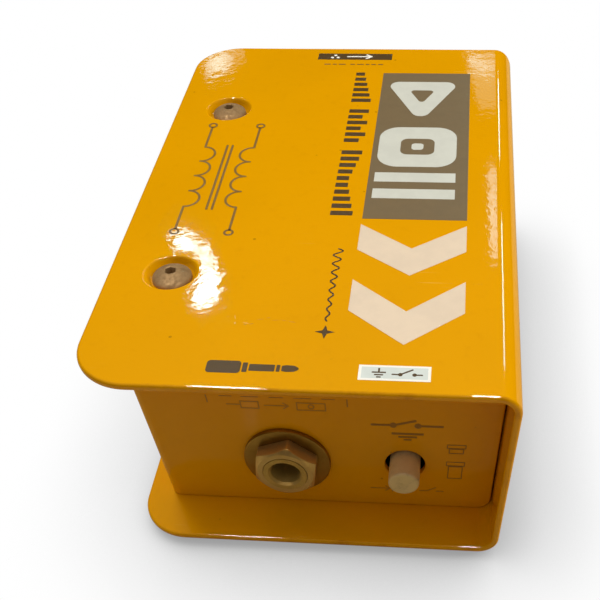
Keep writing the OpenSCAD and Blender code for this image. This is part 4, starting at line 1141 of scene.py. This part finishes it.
def studio():
    sc = bpy.context.scene
    sc.view_settings.view_transform = "Standard"
    sc.view_settings.look = "None"
    w = bpy.data.worlds.new("studio")
    sc.world = w
    w.use_nodes = True
    t = w.node_tree
    t.nodes.clear()
    out = t.nodes.new("ShaderNodeOutputWorld")
    lp = t.nodes.new("ShaderNodeLightPath")
    tc = t.nodes.new("ShaderNodeTexCoord")
    sep = t.nodes.new("ShaderNodeSeparateXYZ")
    t.links.new(tc.outputs["Generated"], sep.inputs[0])

    def ramp(axis, a, b, lo, hi):
        n = t.nodes.new("ShaderNodeMapRange")
        n.interpolation_type = "SMOOTHSTEP"
        t.links.new(sep.outputs[axis], n.inputs["Value"])
        for key, v in (("From Min", a), ("From Max", b), ("To Min", lo), ("To Max", hi)):
            n.inputs[key].default_value = v
        return n.outputs["Result"]

    def mul(a, b):
        n = t.nodes.new("ShaderNodeMath")
        n.operation = "MULTIPLY"
        t.links.new(a, n.inputs[0])
        t.links.new(b, n.inputs[1])
        return n.outputs[0]

    def background(color, strength):
        n = t.nodes.new("ShaderNodeBackground")
        n.inputs[0].default_value = (*color, 1)
        if isinstance(strength, float):
            n.inputs[1].default_value = strength
        else:
            t.links.new(strength, n.inputs[1])
        return n.outputs[0]

    def mix(fac, a, b):
        n = t.nodes.new("ShaderNodeMixShader")
        t.links.new(fac, n.inputs[0])
        t.links.new(a, n.inputs[1])
        t.links.new(b, n.inputs[2])
        return n.outputs[0]

    # what the object mirrors: a dim amber room, darker low down behind
    room = background((1.0, 0.58, 0.20), mul(ramp(2, 0.45, 0.80, ROOM[0], ROOM[1]), ramp(1, -0.5, 0.4, 1.25, 1.0)))
    white = background((1, 1, 1), 1.0)
    black = background((0, 0, 0), 0.0)
    shade = mix(lp.outputs["Is Glossy Ray"], black, room)
    t.links.new(mix(lp.outputs["Is Camera Ray"], shade, white), out.inputs[0])

    # a dome that lights matt surfaces only: bright above and behind, dim from the viewer's side
    dome = bpy.data.meshes.new("sky_dome")
    rows, cols, R = 10, 20, 4.0
    dv = [(0, 0, R)] + [(R * math.sin(math.pi * i / rows) * math.cos(TAU * j / cols), R * math.sin(math.pi * i / rows) * math.sin(TAU * j / cols), R * math.cos(math.pi * i / rows)) for i in range(1, 7) for j in range(cols)]
    df = [(0, 1 + j, 1 + (j + 1) % cols) for j in range(cols)]
    df += [(1 + i * cols + j, 1 + (i + 1) * cols + j, 1 + (i + 1) * cols + (j + 1) % cols, 1 + i * cols + (j + 1) % cols) for i in range(5) for j in range(cols)]
    dome.from_pydata(dv, [], df)
    dm = bpy.data.materials.new("sky_light")
    dm.use_nodes = True
    dt = dm.node_tree
    dt.nodes.clear()
    do_ = dt.nodes.new("ShaderNodeOutputMaterial")
    de = dt.nodes.new("ShaderNodeEmission")
    de.inputs[0].default_value = (1.0, 0.985, 0.95, 1)
    dc = dt.nodes.new("ShaderNodeTexCoord")
    ds = dt.nodes.new("ShaderNodeSeparateXYZ")
    dt.links.new(dc.outputs["Object"], ds.inputs[0])
    def dramp(axis, a, b, lo, hi):
        n = dt.nodes.new("ShaderNodeMapRange")
        n.interpolation_type = "SMOOTHSTEP"
        dt.links.new(ds.outputs[axis], n.inputs["Value"])
        for key, v in (("From Min", a * R), ("From Max", b * R), ("To Min", lo), ("To Max", hi)):
            n.inputs[key].default_value = v
        return n.outputs["Result"]
    dx = dt.nodes.new("ShaderNodeMath")
    dx.operation = "MULTIPLY"
    dt.links.new(dramp(1, -0.9, 0.5, SKY[0], SKY[1]), dx.inputs[0])
    dt.links.new(dramp(2, -0.3, 0.8, SKY[2], SKY[3]), dx.inputs[1])
    dt.links.new(dx.outputs[0], de.inputs[1])
    dt.links.new(de.outputs[0], do_.inputs[0])
    dome.materials.append(dm)
    dob = bpy.data.objects.new("sky_dome", dome)
    sc.collection.objects.link(dob)
    dob.visible_camera = False
    dob.visible_glossy = False
    dob.visible_transmission = False
    dob.visible_shadow = False

    # floor: seen by the camera as white with a painted shadow, the soft grey near the object; to other rays a warm
    # bounce
    me = bpy.data.meshes.new("floor")
    s = 3.0
    me.from_pydata([(-s, -s, 0), (s, -s, 0), (s, s, 0), (-s, s, 0)], [], [(0, 1, 2, 3)])
    fl = bpy.data.objects.new("floor", me)
    sc.collection.objects.link(fl)
    fm = bpy.data.materials.new("floor_white_painted_shadow")
    fm.use_nodes = True
    ft = fm.node_tree
    ft.nodes.clear()
    fo = ft.nodes.new("ShaderNodeOutputMaterial")
    fmix = ft.nodes.new("ShaderNodeMixShader")
    flp = ft.nodes.new("ShaderNodeLightPath")
    bounce = ft.nodes.new("ShaderNodeBsdfDiffuse")
    bounce.inputs[0].default_value = (*FLOOR, 1)
    clear = ft.nodes.new("ShaderNodeBsdfTransparent")
    def occlusion(distance, normal):
        n = ft.nodes.new("ShaderNodeAmbientOcclusion")
        n.samples = 24
        n.inputs["Distance"].default_value = distance
        v = ft.nodes.new("ShaderNodeCombineXYZ")
        nn = Vector(normal).normalized()
        for i in range(3):
            v.inputs[i].default_value = nn[i]
        ft.links.new(v.outputs[0], n.inputs["Normal"])
        return n.outputs["AO"]
    def fmath(op, a, b):
        n = ft.nodes.new("ShaderNodeMath")
        n.operation = op
        n.use_clamp = True
        for i, v in enumerate((a, b)):
            if isinstance(v, (int, float)):
                n.inputs[i].default_value = v
            else:
                ft.links.new(v, n.inputs[i])
        return n.outputs[0]
    # painted shadow: three occlusion lookups, two with tilted normals, grey the floor around the object for the camera
    near = occlusion(0.042, (0.10, 0.62, 0.75))
    close = occlusion(0.014, (0.0, 0.0, 1.0))
    right = occlusion(0.030, (-0.75, 0.0, 0.66))
    def span(x, a, b, lo, hi):
        n = ft.nodes.new("ShaderNodeMapRange")
        ft.links.new(x, n.inputs["Value"])
        for key, v in (("From Min", a), ("From Max", b), ("To Min", lo), ("To Max", hi)):
            n.inputs[key].default_value = v
        return n.outputs["Result"]
    g = fmath("MULTIPLY", span(near, 0.30, 0.97, 0.56, 1.0), span(close, 0.35, 0.95, 0.74, 1.0))
    g = fmath("MULTIPLY", g, span(right, 0.30, 0.95, 0.78, 1.0))
    comb = ft.nodes.new("ShaderNodeCombineColor")
    for i in range(3):
        ft.links.new(g, comb.inputs[i])
    ft.links.new(comb.outputs[0], clear.inputs[0])
    ft.links.new(flp.outputs["Is Camera Ray"], fmix.inputs[0])
    ft.links.new(bounce.outputs[0], fmix.inputs[1])
    ft.links.new(clear.outputs[0], fmix.inputs[2])
    ft.links.new(fmix.outputs[0], fo.inputs[0])
    me.materials.append(fm)

    def area(name, loc, target, size, power, color=(1, 1, 1), glossy=False):
        L = bpy.data.lights.new(name, "AREA")
        L.shape = "RECTANGLE"
        L.size, L.size_y = size
        L.energy = power
        L.color = color
        o = bpy.data.objects.new(name, L)
        o.location = loc
        o.rotation_mode = "QUATERNION"
        o.rotation_quaternion = (Vector(target) - Vector(loc)).to_track_quat("-Z", "Y")
        o.visible_glossy = glossy
        sc.collection.objects.link(o)
        return o

    for name, loc, target, size, power, color in LAMPS:
        area(name, loc, target, size, power, color)

    # windows and lamps seen only as reflections
    def window(name, corners, strength, color=(0.50, 0.93, 1.0), ragged=0.0, scale=1.0):
        me = bpy.data.meshes.new(name)
        c = sum(corners, Vector((0, 0, 0))) / len(corners)
        me.from_pydata([tuple((p - c) * MM) for p in corners], [], [tuple(range(len(corners)))])
        m = bpy.data.materials.new(name)
        m.use_nodes = True
        nt = m.node_tree
        nt.nodes.clear()
        o_ = nt.nodes.new("ShaderNodeOutputMaterial")
        em = nt.nodes.new("ShaderNodeEmission")
        em.inputs[0].default_value = (*color, 1)
        em.inputs[1].default_value = strength
        nt.links.new(em.outputs[0], o_.inputs[0])
        if ragged:
            co = nt.nodes.new("ShaderNodeTexCoord")
            no = nt.nodes.new("ShaderNodeTexNoise")
            nt.links.new(co.outputs["Object"], no.inputs["Vector"])
            no.inputs["Scale"].default_value = scale
            no.inputs["Detail"].default_value = 4
            mr = nt.nodes.new("ShaderNodeMapRange")
            nt.links.new(no.outputs["Fac"], mr.inputs["Value"])
            mr.inputs["From Min"].default_value = 0.5 - 0.2 * (1 - ragged) - 0.06
            mr.inputs["From Max"].default_value = 0.5 - 0.2 * (1 - ragged) + 0.10
            mr.inputs["To Min"].default_value = 0
            mr.inputs["To Max"].default_value = strength
            nt.links.new(mr.outputs["Result"], em.inputs[1])
        me.materials.append(m)
        o = bpy.data.objects.new(name, me)
        o.location = c * MM
        sc.collection.objects.link(o)
        o.visible_camera = False
        o.visible_diffuse = False
        o.visible_transmission = False
        o.visible_volume_scatter = False
        o.visible_shadow = False
        return o

    up = Vector((0, 0, 1))
    flat = lambda pts, d=650: [mirrored(on_top(*p), up, d) for p in pts]
    def bent(y0, y1, t0, t1, d=650):
        out = []
        for y, th in ((y0, t0), (y0, t1), (y1, t1), (y1, t0)):
            a = math.radians(th)
            n = Vector((math.sin(a), 0, math.cos(a)))
            out.append(mirrored(Vector((HW - BEND, y, ZT - BEND)) + n * BEND, n, d))
        return out
    window("window_screw", flat([(170, 239), (184, 232), (200, 238), (211, 249), (218, 266), (220, 284), (216, 298), (208, 306), (196, 308), (188, 299), (196, 289), (201, 278), (202, 265), (197, 254), (187, 248), (173, 246)]), 21.0, ragged=0.45, scale=40)
    window("window_rear_left", flat([(201, 68), (212, 56), (226, 50), (243, 49), (246, 53), (236, 62), (222, 70), (206, 76)]), 4.4, ragged=0.6, scale=30)
    window("window_rear_right", flat([(464, 50), (502, 52), (503, 108), (480, 110), (472, 80)]), 0.8, (0.6, 0.9, 0.75), ragged=0.3, scale=10)
    window("window_rear_right_2", flat([(467, 57), (498, 58), (497, 70), (474, 72)]), 4.0, ragged=0.8, scale=30)
    window("window_side_1", bent(47, 12, 8, 11), 8.0)
    window("window_side_2", flat([(488, 166), (496, 168), (499, 256), (492, 262)]), 4.0, (0.55, 0.93, 1.0), ragged=0.4, scale=12)
    window("window_side_3", bent(-12, -56, 10, 13), 9.0)
    def on_front(px, py):
        d = CAM_F + CAM_R * ((px - CX) / FOCAL) + CAM_D * ((py - CY) / FOCAL)
        return CAM + d * ((-PY - CAM.y) / d.y)
    window("window_front", [mirrored(on_front(*p), Vector((0, -1, 0)), 38) for p in ((242, 388), (258, 389), (255, 436), (246, 434))], 0.55, (1.0, 0.85, 0.6), ragged=0.2, scale=60)
    def edge_lamp(x0, x1, a0, a1, d=500):
        out = []
        for x, ph in ((x0, a0), (x1, a0), (x1, a1), (x0, a1)):
            a = math.radians(ph)
            n = Vector((0, -math.sin(a), math.cos(a)))
            out.append(mirrored(Vector((x, -HL, ZT)), n, d))
        return out
    window("lamp_edge", edge_lamp(-17, -5, 15, 32), 42.0, (1.0, 0.97, 0.90))
    window("lamp_corner", edge_lamp(31.5, 37.0, 15, 34), 42.0, (1.0, 0.97, 0.90))

    cam = bpy.data.cameras.new("camera")
    co = bpy.data.objects.new("camera", cam)
    sc.collection.objects.link(co)
    sc.camera = co
    m = Matrix.Identity(4)
    for i in range(3):
        m[i][0], m[i][1], m[i][2] = CAM_R[i], -CAM_D[i], -CAM_F[i]
    loc = CAM * MM
    m.translation = loc
    co.matrix_world = m
    cam.sensor_width = 36
    cam.sensor_fit = "HORIZONTAL"
    cam.lens = FOCAL / 600 * 36
    cam.clip_start = 0.002
    cam.clip_end = 50
    # the lens is shifted only at this standpoint; seen from anywhere else it is centred
    for attr, value in (("shift_x", -(CX - 300) / 600), ("shift_y", (CY - 300) / 600)):
        d = cam.driver_add(attr).driver
        d.type = "SCRIPTED"
        var = d.variables.new()
        var.name = "x"
        var.type = "TRANSFORMS"
        var.targets[0].id = co
        var.targets[0].transform_type = "LOC_X"
        var.targets[0].transform_space = "WORLD_SPACE"
        d.expression = f"{value:.8f} if abs(x - {loc[0]:.8f}) < 0.00001 else 0.0"
    return co

SKY = (0.24, 0.84, 0.35, 1.0)
ROOM = (0.008, 0.50)
FLOOR = (0.52, 0.40, 0.20)
LAMPS = (
    ("key", (-0.30, 0.55, 0.85), (0, 0, 0.03), (0.45, 0.35), 4.5, (1.0, 0.98, 0.94)),
    ("right", (0.75, 0.10, 0.45), (0, 0, 0.03), (0.4, 0.4), 3.4, (1.0, 0.97, 0.90)),
)
studio()

bpy.context.view_layer.update()
